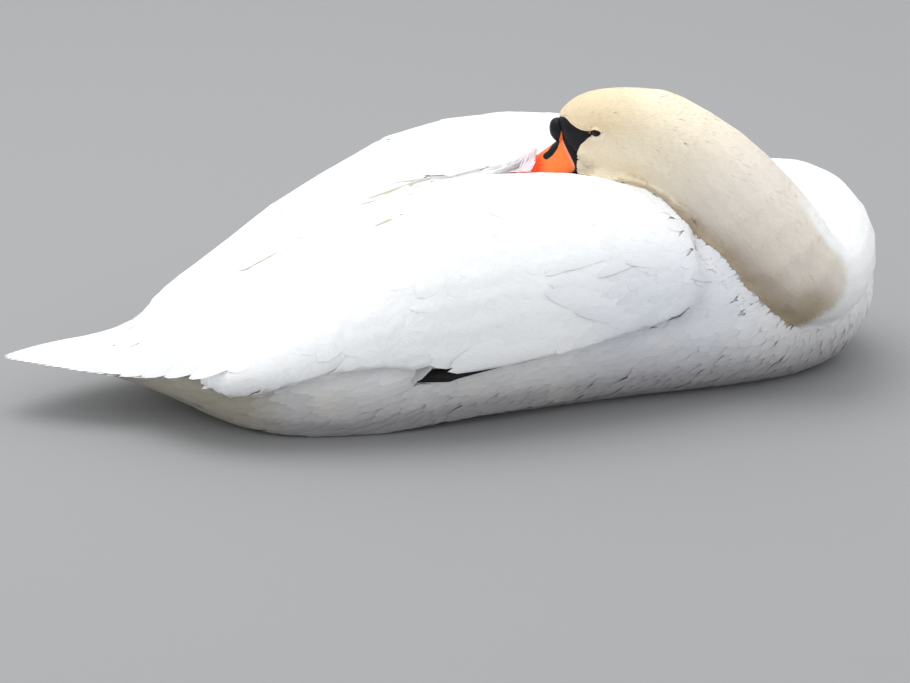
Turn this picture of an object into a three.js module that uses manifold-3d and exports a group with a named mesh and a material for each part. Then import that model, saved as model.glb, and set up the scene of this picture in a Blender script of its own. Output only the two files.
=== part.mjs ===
// An adult mute swan asleep on the ground: the neck is folded back over the right shoulder and the bill is
// tucked among the feathers of the back. Millimetres. +X points to the breast, +Y to the bird's left and +Z up.
// The belly rests on z = 0 and the origin is on that flat, under the middle of the body.
import * as THREE from "three";
import { mergeVertices } from "three/addons/utils/BufferGeometryUtils.js";
import Module from "manifold-3d";

const wasm = await Module();
wasm.setup();

// Rows of numbers as objects with named values.
function table(names, rows) {
  const keys = names.split(" ");
  return rows.map((row) => Object.fromEntries(keys.map((key, i) => [key, row[i]])));
}

// ---------------------------------------------------------------- driving dimensions
const GAP = 0.35; // clear space left between neighbouring solids
const RIGHT = -1; // sign of Y on the bird's right side
const LEFT = 1;
const CRUMB = 0.05; // detail smaller than this, left by cutting, is merged away

// The trunk, from the breast back to the rump. At each x: half is the half-width at the height belt, top and keel
// are the heights where the section would close, the powers say how square each half of it is, and dip is the
// depth of the furrow along the back.
const TRUNK = table("x half belt top keel topPower lowPower dip", [
  [427, 8, 74, 82, 66, 2, 2, 0],
  [420, 42, 74, 112, 38, 2, 2, 0],
  [402, 72, 74, 138, 12, 2, 2, 0],
  [372, 97, 76, 160, -9, 2, 2.1, 0],
  [325, 119, 80, 172, -19, 2, 2.2, 0],
  [270, 134, 86, 180, -21, 2.1, 2.3, 0],
  [205, 139, 91, 184, -23, 2.2, 2.4, 2],
  [132, 144, 94, 196, -24, 2.3, 2.5, 22],
  [60, 154, 95, 202, -26, 2.3, 2.6, 34],
  [-15, 159, 93, 198, -29, 2.3, 2.8, 34],
  [-90, 159, 87, 172, -33, 2.2, 3.1, 27],
  [-150, 151, 79, 140, -30, 2.1, 3.2, 17],
  [-205, 134, 69, 102, -20, 2, 2.9, 8],
  [-255, 103, 61, 73, 4, 2, 2.3, 3],
  [-300, 68, 55, 63, 25, 2, 2, 0],
  [-345, 28, 52, 58, 40, 2, 2, 0],
]);

// The outside of the folded wings, as if they were one loft over the back. low and high are the angles round the
// section where the wing's lower and upper edges lie, and thick is the depth of wing and feathers between them.
// The neck lies on the right wing: press is how far it pushes that wing's top down, and puff how far the other
// wing's top stands up.
const WING = table("x half belt top power dip low high thick press puff", [
  [218, 143, 94, 193, 2.35, 0, 8, 58, 4, 0, 2],
  [196, 151, 95, 206, 2.35, 4, 0, 82, 12, 4, 6],
  [166, 158, 96, 223, 2.35, 12, -3, 89, 18, 10, 10],
  [132, 164, 97, 236, 2.35, 24, -5, 89.9, 22, 14, 11],
  [80, 172, 98, 243, 2.35, 36, -9, 89.9, 25, 13, 8],
  [20, 178, 98, 242, 2.35, 38, -13, 89.9, 26, 10, 4],
  [-40, 180, 95, 230, 2.3, 36, -13, 89.9, 26, 6, 1],
  [-100, 177, 89, 199, 2.15, 26, -5, 89.9, 24, 2, 0],
  [-150, 171, 82, 171, 2, 17, -5, 89.9, 22, 0, 0],
  [-200, 161, 73, 139, 1.85, 9, -14, 89.9, 19, 0, -9],
  [-236, 148, 66, 112, 1.75, 5, -17, 89.9, 15, 0, -12],
  [-254, 131, 63, 98, 1.7, 4, -7, 89.9, 12, 0, -12],
  [-270, 109, 61, 87, 1.7, 3, 14, 89.8, 9, 0, -9],
  [-285, 82, 59, 78, 1.7, 2, 34, 89.5, 7, 0, -5],
  [-297, 52, 58, 71, 1.7, 1, 42, 88.5, 4, 0, -1],
]);
const FURROW_HALF = 58; // half-width of the furrow along the back
const WING_EDGE = 6; // thickness of the wing's feather edge

// The tail: a flat wedge of stiff feathers. half is its half-width and mid the height of its middle.
const TAIL = [
  { x: -262, half: 68, mid: 56, thick: 13 },
  { x: -290, half: 70, mid: 55, thick: 12 },
  { x: -330, half: 59, mid: 54, thick: 10 },
  { x: -366, half: 43, mid: 53, thick: 8 },
  { x: -394, half: 27, mid: 53, thick: 6 },
  { x: -412, half: 15, mid: 54, thick: 4 },
  { x: -425, half: 5, mid: 55, thick: 2.4 },
];
const TAIL_DROOP = 4; // how much lower the tail's edges are than its middle

// The tips of the long wing feathers, which show between the wing's rear lobe and the tail.
const PRIMARIES = [
  { x: -196, y: 141, z: 62, half: 11, thick: 8 },
  { x: -216, y: 131, z: 57, half: 17, thick: 8 },
  { x: -240, y: 116, z: 53, half: 17, thick: 7 },
  { x: -268, y: 98, z: 53, half: 11, thick: 5 },
  { x: -288, y: 84, z: 54, half: 3, thick: 2.4 },
];

// The neck and head as one bent length, from its root in the breast to the base of the bill. side, over and under
// are the section's half-width and its reach above and below the line.
const NECK = [
  { at: [266, 12, 92], side: 82, over: 82, under: 82 },
  { at: [303, 15, 112], side: 75, over: 75, under: 75 },
  { at: [336, 10, 128], side: 67, over: 67, under: 67 },
  { at: [360, -10, 133], side: 56, over: 56, under: 56 },
  { at: [368, -44, 123], side: 49, over: 49, under: 49 },
  { at: [356, -79, 111], side: 47, over: 47, under: 47 },
  { at: [332, -104, 111], side: 47, over: 47, under: 47 },
  { at: [309, -109, 137], side: 47.5, over: 47.5, under: 47.5 },
  { at: [281, -92, 174], side: 47.5, over: 47.5, under: 47.5 },
  { at: [246, -62, 212], side: 45, over: 45, under: 45 },
];
const NECK_CUTS = [0.36, 0.66]; // shares of the neck's length where its three lengths part

// The head's own frame: forward along the skull to the bill, left to the bird's left, up to the crown.
const HEAD_MIDDLE = new THREE.Vector3(144, -23, 252); // midway between the eyes
const HEAD_FORWARD = new THREE.Vector3(-0.93, 0.28, -0.24).normalize();
const HEAD_LEFT = new THREE.Vector3(0, 0, 1).cross(HEAD_FORWARD).normalize();
const HEAD_UP = HEAD_FORWARD.clone().cross(HEAD_LEFT);

// The head's sections, in its own frame: a is forward, mid the height of the widest line.
const HEAD = [
  { a: -58, mid: -20, side: 40, over: 38, under: 45 },
  { a: -44, mid: -14, side: 36, over: 38, under: 44 },
  { a: -29, mid: -9, side: 33, over: 38, under: 42 },
  { a: -14, mid: -6, side: 31, over: 38, under: 41 },
  { a: 0, mid: -5, side: 29.5, over: 38, under: 40 },
  { a: 11, mid: -7, side: 26.5, over: 37, under: 37 },
  { a: 20, mid: -9, side: 22.5, over: 33, under: 35 },
  { a: 26.5, mid: -12, side: 18, over: 27, under: 31 },
];

// The bill, in the head's frame: the upper mandible's ridge (culmen), its cutting edge (tomium) and half-width.
const BILL = [
  { a: 27.2, culmen: 6, tomium: -37, half: 17 },
  { a: 34, culmen: -2, tomium: -37.5, half: 16 },
  { a: 44, culmen: -8.5, tomium: -38, half: 15 },
  { a: 58, culmen: -15, tomium: -38.5, half: 14 },
  { a: 72, culmen: -22, tomium: -39, half: 14 },
  { a: 86, culmen: -29, tomium: -40, half: 14.5 },
  { a: 97, culmen: -35.5, tomium: -42, half: 12.5 },
  { a: 103, culmen: -41, tomium: -45, half: 6 },
];
const LOWER_BILL = [
  { a: 27.2, depth: 9, half: 14.5 },
  { a: 45, depth: 8, half: 13.2 },
  { a: 70, depth: 6, half: 12.4 },
  { a: 90, depth: 4.5, half: 11.6 },
  { a: 98, depth: 2.5, half: 7 },
];
const KNOB = { a: 38.5, up: 2.5, long: 9.5, wide: 9, tall: 12.5 }; // half-sizes of the fleshy knob on the bill
const EYE = { a: 0, side: 23.4, up: 0, radius: 6.6 };

// The left foot lies spread under the belly; the right one is drawn up against the flank under the wing.
const FOOT_BASE = new THREE.Vector3(-8, 66, 6.5);
const TOES = [
  { turn: 26, length: 96 },
  { turn: 2, length: 112 },
  { turn: -21, length: 98 },
];
const TOE_RADIUS = 6;
const HIND_TOE = 20;
const ANKLE_LEFT = new THREE.Vector3(-112, 88, 9.5);
const SHANK_RADIUS = 7.5;
const ANKLE_RIGHT = new THREE.Vector3(-130, -122, 56);
const TOE_JOINT_RIGHT = new THREE.Vector3(-32, -162, 63);
const FOLDED_TOES = [
  { end: [70, -152, 92], radius: 5.5 },
  { end: [78, -152, 84], radius: 5.5 },
  { end: [66, -152, 76], radius: 5 },
];

const BODY_RING = 24; // facets round a body section
const NECK_RING = 18;
const STEPS = 2; // rings between two stations of a table
const REACH = 0.7; // the neck's bend at a place is judged from this many stations to either side
const PRESS = 0.85; // on the inside of a bend the neck reaches at most this share of the way to the bend's centre
const MOST_LEAN = 0.3; // at a sharp edge a corner moves out by no more than a gap over this
const DEGREE = Math.PI / 180;

// ---------------------------------------------------------------- materials
const finish = (color, roughness) => new THREE.MeshStandardMaterial({ color, roughness, metalness: 0 });
const PLUMAGE = finish(0xf2f2ee, 0.8);
const CREAM = finish(0xe6dcc2, 0.8);
const ORANGE = finish(0xf0803c, 0.45);
const BLACK = finish(0x17171b, 0.5);
const EYE_DARK = finish(0x120c0a, 0.1);
const WEB = finish(0x24242a, 0.7);

// ---------------------------------------------------------------- tables to smooth rows
// Every number of a table's rows, followed smoothly: row(t) is for t from 0 to the last row's index.
function smoothRows(rows) {
  const keys = Object.keys(rows[0]).filter((key) => typeof rows[0][key] === "number");
  const last = rows.length - 1;
  return (t) => {
    const i = Math.min(Math.floor(t), last - 1);
    const f = t - i;
    const out = {};
    for (const key of keys) {
      const [p, q] = [rows[i][key], rows[i + 1][key]];
      const before = i > 0 ? (q - rows[i - 1][key]) / 2 : q - p;
      const after = i + 2 <= last ? (rows[i + 2][key] - p) / 2 : q - p;
      const [f2, f3] = [f * f, f * f * f];
      const bend = (f3 - 2 * f2 + f) * before + (f3 - f2) * after;
      out[key] = (2 * f3 - 3 * f2 + 1) * p + (3 * f2 - 2 * f3) * q + bend;
    }
    return out;
  };
}

// The table's rows with steps even parts between each two.
function refined(rows, steps = STEPS) {
  const row = smoothRows(rows);
  const count = (rows.length - 1) * steps;
  return Array.from({ length: count + 1 }, (_, i) => row(i / steps));
}

// ---------------------------------------------------------------- closed meshes
// A closed mesh over rings of points, which all turn the same way, with a fan over each end.
function ringSolid(rings) {
  const count = rings[0].length;
  const points = rings.flat();
  const middle = (ring) => ring.reduce((sum, p) => sum.add(p), new THREE.Vector3()).divideScalar(count);
  const first = points.push(middle(rings[0])) - 1;
  const final = points.push(middle(rings.at(-1))) - 1;
  const index = [];
  for (let j = 0; j < count; j++) {
    const next = (j + 1) % count;
    for (let i = 0; i + 1 < rings.length; i++) {
      const [a, b, c, d] = [i * count + j, i * count + next, (i + 1) * count + next, (i + 1) * count + j];
      index.push(a, b, c, a, c, d);
    }
    index.push(first, next, j);
    index.push(final, (rings.length - 1) * count + j, (rings.length - 1) * count + next);
  }
  return facingOut(points, index);
}

// A closed mesh between two grids of points of the same rows and columns, with walls round their borders.
function shellSolid(outer, inner) {
  const [rows, columns] = [outer.length, outer[0].length];
  const points = [...outer.flat(), ...inner.flat()];
  const base = rows * columns;
  const at = (i, j) => i * columns + j;
  const index = [];
  for (let i = 0; i + 1 < rows; i++)
    for (let j = 0; j + 1 < columns; j++) {
      const [a, b, c, d] = [at(i, j), at(i, j + 1), at(i + 1, j + 1), at(i + 1, j)];
      index.push(a, b, c, a, c, d);
      index.push(base + a, base + c, base + b, base + a, base + d, base + c);
    }
  const border = [];
  for (let j = 0; j + 1 < columns; j++) border.push(at(0, j));
  for (let i = 0; i + 1 < rows; i++) border.push(at(i, columns - 1));
  for (let j = columns - 1; j > 0; j--) border.push(at(rows - 1, j));
  for (let i = rows - 1; i > 0; i--) border.push(at(i, 0));
  border.forEach((a, k) => {
    const b = border[(k + 1) % border.length];
    index.push(a, base + b, b, a, base + a, base + b);
  });
  return facingOut(points, index);
}

// A geometry from points and triangles, turned so that its faces point outwards.
function facingOut(points, index) {
  let volume = 0;
  const cross = new THREE.Vector3();
  for (let i = 0; i < index.length; i += 3)
    volume += points[index[i]].dot(cross.crossVectors(points[index[i + 1]], points[index[i + 2]]));
  const turned = [];
  for (let i = 0; i < index.length; i += 3)
    turned.push(index[i], ...(volume < 0 ? [index[i + 2], index[i + 1]] : [index[i + 1], index[i + 2]]));
  return new THREE.BufferGeometry().setFromPoints(points).setIndex(turned);
}

// A geometry as a solid that can be cut. grow moves every face of it outwards by at least that much.
function solid(geometry, grow = 0) {
  const bare = geometry.clone();
  bare.deleteAttribute("normal");
  bare.deleteAttribute("uv");
  const merged = mergeVertices(bare, 1e-3);
  if (grow) swell(merged, grow);
  const vertProperties = new Float32Array(merged.attributes.position.array);
  const triVerts = new Uint32Array(merged.index.array);
  return new wasm.Manifold(new wasm.Mesh({ numProp: 3, vertProperties, triVerts }));
}

// Every corner moves out along the mean of its faces' normals, far enough to carry each face out by the distance.
function swell(geometry, by) {
  const { position } = geometry.attributes;
  const index = geometry.index.array;
  const faces = Array.from({ length: position.count }, () => []);
  const corner = (i) => new THREE.Vector3().fromBufferAttribute(position, index[i]);
  for (let i = 0; i < index.length; i += 3) {
    const p = corner(i);
    const normal = corner(i + 1).sub(p).cross(corner(i + 2).sub(p)).normalize();
    for (const k of [0, 1, 2]) {
      const here = corner(i + k);
      const [one, other] = [corner(i + ((k + 1) % 3)).sub(here), corner(i + ((k + 2) % 3)).sub(here)];
      faces[index[i + k]].push({ normal, width: one.angleTo(other) });
    }
  }
  faces.forEach((around, v) => {
    const out = new THREE.Vector3();
    around.forEach(({ normal, width }) => out.addScaledVector(normal, width));
    out.normalize();
    const lean = Math.max(MOST_LEAN, Math.min(...around.map(({ normal }) => normal.dot(out))));
    const place = new THREE.Vector3().fromBufferAttribute(position, v).addScaledVector(out, by / lean);
    position.setXYZ(v, place.x, place.y, place.z);
  });
}

// The largest piece of a solid that cutting may have left with loose crumbs.
function mainPiece(made) {
  return made.decompose().reduce((best, piece) => (piece.volume() > best.volume() ? piece : best));
}

function named(name, made, material) {
  const { vertProperties, triVerts } = mainPiece(mainPiece(made).simplify(CRUMB)).getMesh();
  const geometry = new THREE.BufferGeometry();
  geometry.setAttribute("position", new THREE.BufferAttribute(new Float32Array(vertProperties), 3));
  geometry.setIndex(new THREE.BufferAttribute(new Uint32Array(triVerts), 1));
  const mesh = new THREE.Mesh(geometry, material);
  mesh.name = name;
  return mesh;
}

// ---------------------------------------------------------------- sections
const curved = (value, power) => Math.sign(value) * Math.abs(value) ** (2 / power);
const furrow = (s, y) => s.dip * Math.exp(-((y / FURROW_HALF) ** 2) * 2);

// A point of a body section at an angle from its widest line: 90 degrees is the top. Nothing is below the ground.
function trunkPoint(s, angle) {
  const rise = Math.sin(angle);
  const power = rise < 0 ? s.lowPower : s.topPower;
  const y = s.half * curved(Math.cos(angle), power);
  const z = s.belt + (rise < 0 ? s.belt - s.keel : s.top - s.belt) * curved(rise, power);
  return new THREE.Vector3(s.x, y, Math.max(z - (rise > 0 ? furrow(s, y) : 0), 0));
}

function trunk() {
  const angles = Array.from({ length: BODY_RING }, (_, j) => ((j + 0.5) / BODY_RING) * 2 * Math.PI);
  return ringSolid(refined(TRUNK).map((s) => angles.map((angle) => trunkPoint(s, angle))));
}

// A point of the wings' outside, or depth under it, at an angle in degrees from the widest line. The insides of
// both wings have one shape, that of the trunk under them.
function wingPoint(s, angle, depth, side) {
  const rise = Math.sin(angle * DEGREE);
  const y = (s.half - depth) * curved(Math.cos(angle * DEGREE), s.power);
  const shift = side === RIGHT ? -s.press : s.puff;
  const top = s.top + (depth > 0 ? -Math.max(s.press, -s.puff) : shift);
  const height = rise < 0 ? s.belt - depth : top - s.belt - depth;
  return new THREE.Vector3(s.x, side * y, s.belt + height * curved(rise, s.power) - furrow(s, y));
}

const WING_COLUMNS = 12;

function wing(side) {
  const outer = [];
  const inner = [];
  for (const s of WING) {
    const shares = Array.from({ length: WING_COLUMNS }, (_, j) => j / (WING_COLUMNS - 1));
    const angle = (share) => s.low + (s.high - s.low) * share;
    // the feather edge is thin and the arm under the coverts is thick
    const swell = (share) => Math.min(1, share * 3, (1 - share) * 6);
    const depth = (share) => Math.min(s.thick, WING_EDGE + (s.thick - WING_EDGE) * swell(share));
    outer.push(shares.map((share) => wingPoint(s, angle(share), 0, side)));
    inner.push(shares.map((share) => wingPoint(s, angle(share), depth(share), side)));
  }
  return shellSolid(outer, inner);
}

const TAIL_COLUMNS = 9;

function tail() {
  const outer = [];
  const inner = [];
  for (const s of TAIL) {
    const across = Array.from({ length: TAIL_COLUMNS }, (_, j) => (2 * j) / (TAIL_COLUMNS - 1) - 1);
    const point = (u, face) => {
      const drop = TAIL_DROOP * u * u * Math.min(1, s.half / TAIL[0].half);
      const thick = (s.thick / 2) * Math.max(0.25, 1 - u * u);
      return new THREE.Vector3(s.x, s.half * u, s.mid - drop + face * thick);
    };
    outer.push(across.map((u) => point(u, 1)));
    inner.push(across.map((u) => point(u, -1)));
  }
  return shellSolid(outer, inner);
}

const BLADE_COLUMNS = 5;

function primaries(side) {
  const rows = refined(PRIMARIES, 1);
  const outer = [];
  const inner = [];
  rows.forEach((s, i) => {
    const [p, q] = [rows[Math.max(i - 1, 0)], rows[Math.min(i + 1, rows.length - 1)]];
    const across = new THREE.Vector3(q.x - p.x, q.y - p.y, 0).normalize().cross(new THREE.Vector3(0, 0, 1));
    const place = (u, face) => {
      const middle = new THREE.Vector3(s.x, s.y, s.z);
      const point = middle.addScaledVector(across, s.half * u);
      point.z += face * (s.thick / 2) * Math.max(0.3, 1 - u * u) + u * s.half * 0.4;
      point.y *= side;
      return point;
    };
    const shares = Array.from({ length: BLADE_COLUMNS }, (_, j) => (2 * j) / (BLADE_COLUMNS - 1) - 1);
    outer.push(shares.map((u) => place(u, 1)));
    inner.push(shares.map((u) => place(u, -1)));
  });
  return shellSolid(outer, inner);
}

// ---------------------------------------------------------------- neck, head and bill
const headPoint = (a, left, up) =>
  HEAD_MIDDLE.clone()
    .addScaledVector(HEAD_FORWARD, a)
    .addScaledVector(HEAD_LEFT, left)
    .addScaledVector(HEAD_UP, up);

// Stations of the neck and head in one row, each with its place and section.
const SPINE = [
  ...NECK.map(({ at, ...section }) => ({ x: at[0], y: at[1], z: at[2], ...section })),
  ...HEAD.map(({ a, mid, ...section }) => {
    const { x, y, z } = headPoint(a, 0, mid);
    return { x, y, z, ...section };
  }),
];
const spineRow = smoothRows(SPINE);

// A ring of the neck or head at place t of the spine, square to its line and upright in the head's frame. The
// line's direction and bend are those over REACH stations to either side.
function spineRing(t) {
  const place = (u) => {
    const { x, y, z } = spineRow(Math.min(Math.max(u, 0), SPINE.length - 1));
    return new THREE.Vector3(x, y, z);
  };
  const [before, here, after] = [place(t - REACH), place(t), place(t + REACH)];
  const along = after.clone().sub(before);
  const step = along.length() / 2;
  along.normalize();
  const left = HEAD_UP.clone().cross(along).normalize();
  const up = along.clone().cross(left);
  const bend = after.add(before).addScaledVector(here, -2).divideScalar(step * step);
  bend.addScaledVector(along, -bend.dot(along));
  const inward = bend.clone().normalize();
  const limit = PRESS / Math.max(bend.length(), 1e-6);
  const s = spineRow(t);
  return Array.from({ length: NECK_RING }, (_, j) => {
    const angle = (j / NECK_RING) * 2 * Math.PI;
    const reach = left.clone().multiplyScalar(s.side * Math.cos(angle));
    reach.addScaledVector(up, (Math.sin(angle) > 0 ? s.over : s.under) * Math.sin(angle));
    reach.addScaledVector(inward, Math.min(0, limit - reach.dot(inward)));
    return here.clone().add(reach);
  });
}

// The stretch of spine between two places. Its ends stand half a gap back from them.
function spineLength(from, to) {
  const count = Math.round((to - from) * STEPS);
  const rings = Array.from({ length: count + 1 }, (_, i) => spineRing(from + ((to - from) * i) / count));
  const middle = (ring) => ring.reduce((sum, p) => sum.add(p), new THREE.Vector3()).divideScalar(ring.length);
  const shift = (ring, towards) => {
    const step = middle(towards).sub(middle(ring)).setLength(GAP / 2);
    ring.forEach((p) => p.add(step));
  };
  shift(rings[0], rings[1]);
  shift(rings.at(-1), rings.at(-2));
  return ringSolid(rings);
}

const BILL_RING = 12;

// A half-round section of the bill: arched above, flat along the cutting edge.
function billRing(a, half, top, edge) {
  return Array.from({ length: BILL_RING }, (_, j) => {
    const angle = (j / BILL_RING) * 2 * Math.PI;
    const rise = Math.sin(angle);
    const up = rise > 0 ? edge + (top - edge) * rise ** 0.85 : edge + 0.6 * rise;
    return headPoint(a, half * Math.cos(angle), up);
  });
}

const upperBill = () => ringSolid(refined(BILL, 2).map((s) => billRing(s.a, s.half, s.culmen, s.tomium)));

function lowerBill() {
  const edgeAt = (a) => {
    const k = BILL.findIndex((s) => s.a >= a);
    const [p, q] = [BILL[Math.max(k - 1, 0)], BILL[Math.max(k, 1)]];
    return p.tomium + ((q.tomium - p.tomium) * (a - p.a)) / (q.a - p.a) - 0.6 - 2 * GAP;
  };
  const rings = refined(LOWER_BILL, 2).map((s) =>
    Array.from({ length: BILL_RING }, (_, j) => {
      const angle = (j / BILL_RING) * 2 * Math.PI;
      const drop = Math.max(0, -Math.sin(angle)) ** 0.8 * s.depth;
      const rise = Math.max(0, Math.sin(angle)) * 0.3;
      return headPoint(s.a, s.half * Math.cos(angle), edgeAt(s.a) - drop + rise);
    }),
  );
  return ringSolid(rings);
}

// A round form with three half-sizes, set in the head's frame.
function headBall(a, left, up, [long, wide, tall], [around, down] = [12, 8]) {
  const axes = new THREE.Matrix4().makeBasis(HEAD_FORWARD, HEAD_LEFT, HEAD_UP);
  return new THREE.SphereGeometry(1, around, down)
    .scale(long, wide, tall)
    .applyMatrix4(axes)
    .translate(...headPoint(a, left, up).toArray());
}

const eye = (side) => headBall(EYE.a, side * EYE.side, EYE.up, [EYE.radius, EYE.radius, EYE.radius]);

// ---------------------------------------------------------------- legs and feet
const ROD_RING = 8;

// A tapered rod with blunt ends. Nothing of it is below the ground.
function rod(from, to, startRadius, endRadius) {
  const along = to.clone().sub(from).normalize();
  const side = new THREE.Vector3(0, 0, 1).cross(along).normalize();
  const up = along.clone().cross(side);
  const length = from.distanceTo(to);
  const shares = [-0.6, 0, 4, 4.5];
  const rings = shares.map((share, i) => {
    const t = Math.min(Math.max(share / 4, 0), 1);
    const radius = (startRadius + (endRadius - startRadius) * t) * (i === 0 ? 0.55 : share > 4 ? 0.5 : 1);
    const past = share < 0 ? share * startRadius : Math.max(share - 4, 0) * 2 * endRadius;
    const push = t * length + past;
    return Array.from({ length: ROD_RING }, (_, j) => {
      const angle = (j / ROD_RING) * 2 * Math.PI;
      const point = from.clone().addScaledVector(along, push);
      point.addScaledVector(side, radius * Math.cos(angle)).addScaledVector(up, radius * Math.sin(angle));
      point.z = Math.max(point.z, 0);
      return point;
    });
  });
  return ringSolid(rings);
}

// The spread web between the toes, as a fan with a scalloped front.
function web() {
  const top = [];
  const bottom = [];
  const [columns, rows] = [13, 3];
  const turns = TOES.map((toe) => toe.turn);
  for (let i = 0; i < rows; i++) {
    const share = 0.08 + (0.92 * i) / (rows - 1);
    const line = (z) =>
      Array.from({ length: columns }, (_, j) => {
        const u = (2 * j) / (columns - 1);
        const k = Math.min(Math.floor(u), 1);
        const f = u - k;
        const turn = (turns[k] + (turns[k + 1] - turns[k]) * f) * DEGREE;
        const length = TOES[k].length + (TOES[k + 1].length - TOES[k].length) * f;
        const reach = length * share * (1 - 0.16 * Math.sin(f * Math.PI));
        const [x, y] = [reach * Math.cos(turn), reach * Math.sin(turn)];
        return new THREE.Vector3(FOOT_BASE.x + x, FOOT_BASE.y + y, z);
      });
    top.push(line(5));
    bottom.push(line(2));
  }
  return shellSolid(top, bottom);
}

// The rods and web that each foot is joined from.
function spreadFootShapes() {
  const ends = TOES.map(({ turn, length }) => {
    const reach = new THREE.Vector3(length * Math.cos(turn * DEGREE), length * Math.sin(turn * DEGREE), -3);
    return FOOT_BASE.clone().add(reach);
  });
  const heel = FOOT_BASE.clone().add(new THREE.Vector3(-HIND_TOE, 8, -2));
  const toes = ends.map((end) => rod(FOOT_BASE, end, TOE_RADIUS, TOE_RADIUS * 0.55));
  return [web(), ...toes, rod(FOOT_BASE, heel, TOE_RADIUS * 0.7, 2.4)];
}

function foldedFootShapes() {
  return FOLDED_TOES.map((toe) => rod(TOE_JOINT_RIGHT, new THREE.Vector3(...toe.end), toe.radius, 3.2));
}

function joined(shapes, grow = 0) {
  return shapes.map((shape) => solid(shape, grow)).reduce((sum, shape) => sum.add(shape));
}

// ---------------------------------------------------------------- the pieces, cut clear of each other
const wholeNeck = NECK.length - 1;
const headStart = wholeNeck + 1; // the head begins at its own first section
const cutPlaces = NECK_CUTS.map((share) => share * headStart);
const CUT_ROOM = 0.02; // clear length left between two lengths of the neck, as a share of the way between stations

const raw = {
  trunk: trunk(),
  tail: tail(),
  wingRight: wing(RIGHT),
  wingLeft: wing(LEFT),
  neckBase: spineLength(0, cutPlaces[0]),
  neckBend: spineLength(cutPlaces[0], cutPlaces[1] - CUT_ROOM),
  neckUpper: spineLength(cutPlaces[1], headStart),
  neckRoom: spineLength(cutPlaces[0], headStart), // both upper lengths in one, to cut room for them
  head: spineLength(headStart + CUT_ROOM, SPINE.length - 1),
  upperBill: upperBill(),
  lowerBill: lowerBill(),
  knob: headBall(KNOB.a, 0, KNOB.up, [KNOB.long, KNOB.wide, KNOB.tall]),
  eyeRight: eye(RIGHT),
  eyeLeft: eye(LEFT),
  primariesRight: primaries(RIGHT),
  primariesLeft: primaries(LEFT),
  legRight: rod(ANKLE_RIGHT, TOE_JOINT_RIGHT, SHANK_RADIUS, SHANK_RADIUS * 0.85),
  legLeft: rod(ANKLE_LEFT, FOOT_BASE, SHANK_RADIUS, SHANK_RADIUS * 0.85),
};
const grown = Object.fromEntries(Object.entries(raw).map(([key, shape]) => [key, solid(shape, GAP)]));
const less = (made, ...keys) => keys.reduce((rest, key) => rest.subtract(grown[key]), made);

const footLeft = joined(spreadFootShapes());
const footRight = joined(foldedFootShapes());
const footRoom = { left: joined(spreadFootShapes(), GAP), right: joined(foldedFootShapes(), GAP) };

const headKeys = ["neckRoom", "head", "upperBill", "lowerBill", "knob"];
const wingRight = less(solid(raw.wingRight), ...headKeys, "legRight").subtract(footRoom.right);
const wingLeft = less(solid(raw.wingLeft), ...headKeys);
const primariesRight = less(solid(raw.primariesRight), "wingRight", "tail");
const primariesLeft = less(solid(raw.primariesLeft), "wingLeft", "tail");
const tailFan = less(solid(raw.tail), "wingRight", "wingLeft");
const trunkBody = less(
  solid(raw.trunk),
  "wingRight",
  "wingLeft",
  "primariesRight",
  "primariesLeft",
  "tail",
  ...headKeys,
  "legRight",
  "legLeft",
)
  .subtract(footRoom.left)
  .subtract(footRoom.right);

const swan = new THREE.Group();
swan.add(
  named("trunk", trunkBody, PLUMAGE),
  named("tail", tailFan, PLUMAGE),
  named("wing_right", wingRight, PLUMAGE),
  named("wing_left", wingLeft, PLUMAGE),
  named("primaries_right", primariesRight, PLUMAGE),
  named("primaries_left", primariesLeft, PLUMAGE),
  named("neck_base", less(solid(raw.neckBase), "trunk", "neckUpper"), PLUMAGE),
  named("neck_bend", less(solid(raw.neckBend), "neckUpper"), CREAM),
  named("neck_upper", solid(raw.neckUpper), CREAM),
  named("head", less(solid(raw.head), "neckUpper", "eyeRight", "eyeLeft"), CREAM),
  named("bill_upper", less(solid(raw.upperBill), "head"), ORANGE),
  named("bill_lower", less(solid(raw.lowerBill), "head", "upperBill"), BLACK),
  named("bill_knob", less(solid(raw.knob), "head", "upperBill"), BLACK),
  named("eye_right", solid(raw.eyeRight), EYE_DARK),
  named("eye_left", solid(raw.eyeLeft), EYE_DARK),
  named("leg_right", solid(raw.legRight).subtract(footRoom.right), WEB),
  named("leg_left", solid(raw.legLeft).subtract(footRoom.left), WEB),
  named("foot_right", footRight, WEB),
  named("foot_left", footLeft, WEB),
);

export default swan;
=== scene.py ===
import math
import bpy
import bmesh
import numpy as np
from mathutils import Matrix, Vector
from mathutils.bvhtree import BVHTree


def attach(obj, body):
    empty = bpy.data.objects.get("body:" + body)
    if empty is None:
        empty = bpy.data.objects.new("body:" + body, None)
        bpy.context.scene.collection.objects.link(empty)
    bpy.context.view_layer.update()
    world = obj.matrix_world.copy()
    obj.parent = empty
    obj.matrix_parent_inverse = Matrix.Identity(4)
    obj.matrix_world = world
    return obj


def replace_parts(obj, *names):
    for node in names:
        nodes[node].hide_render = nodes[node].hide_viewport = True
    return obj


# A mute swan asleep on the ground. Shapes are worked out in millimetres and made in metres.
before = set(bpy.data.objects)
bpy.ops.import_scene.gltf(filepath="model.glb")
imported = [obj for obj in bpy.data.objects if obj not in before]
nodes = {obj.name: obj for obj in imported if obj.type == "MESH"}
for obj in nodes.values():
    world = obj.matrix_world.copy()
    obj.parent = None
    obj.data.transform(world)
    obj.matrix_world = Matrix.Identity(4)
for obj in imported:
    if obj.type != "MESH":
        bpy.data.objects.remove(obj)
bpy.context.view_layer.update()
MM = 0.001
Z = np.array((0.0, 0.0, 1.0))


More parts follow.
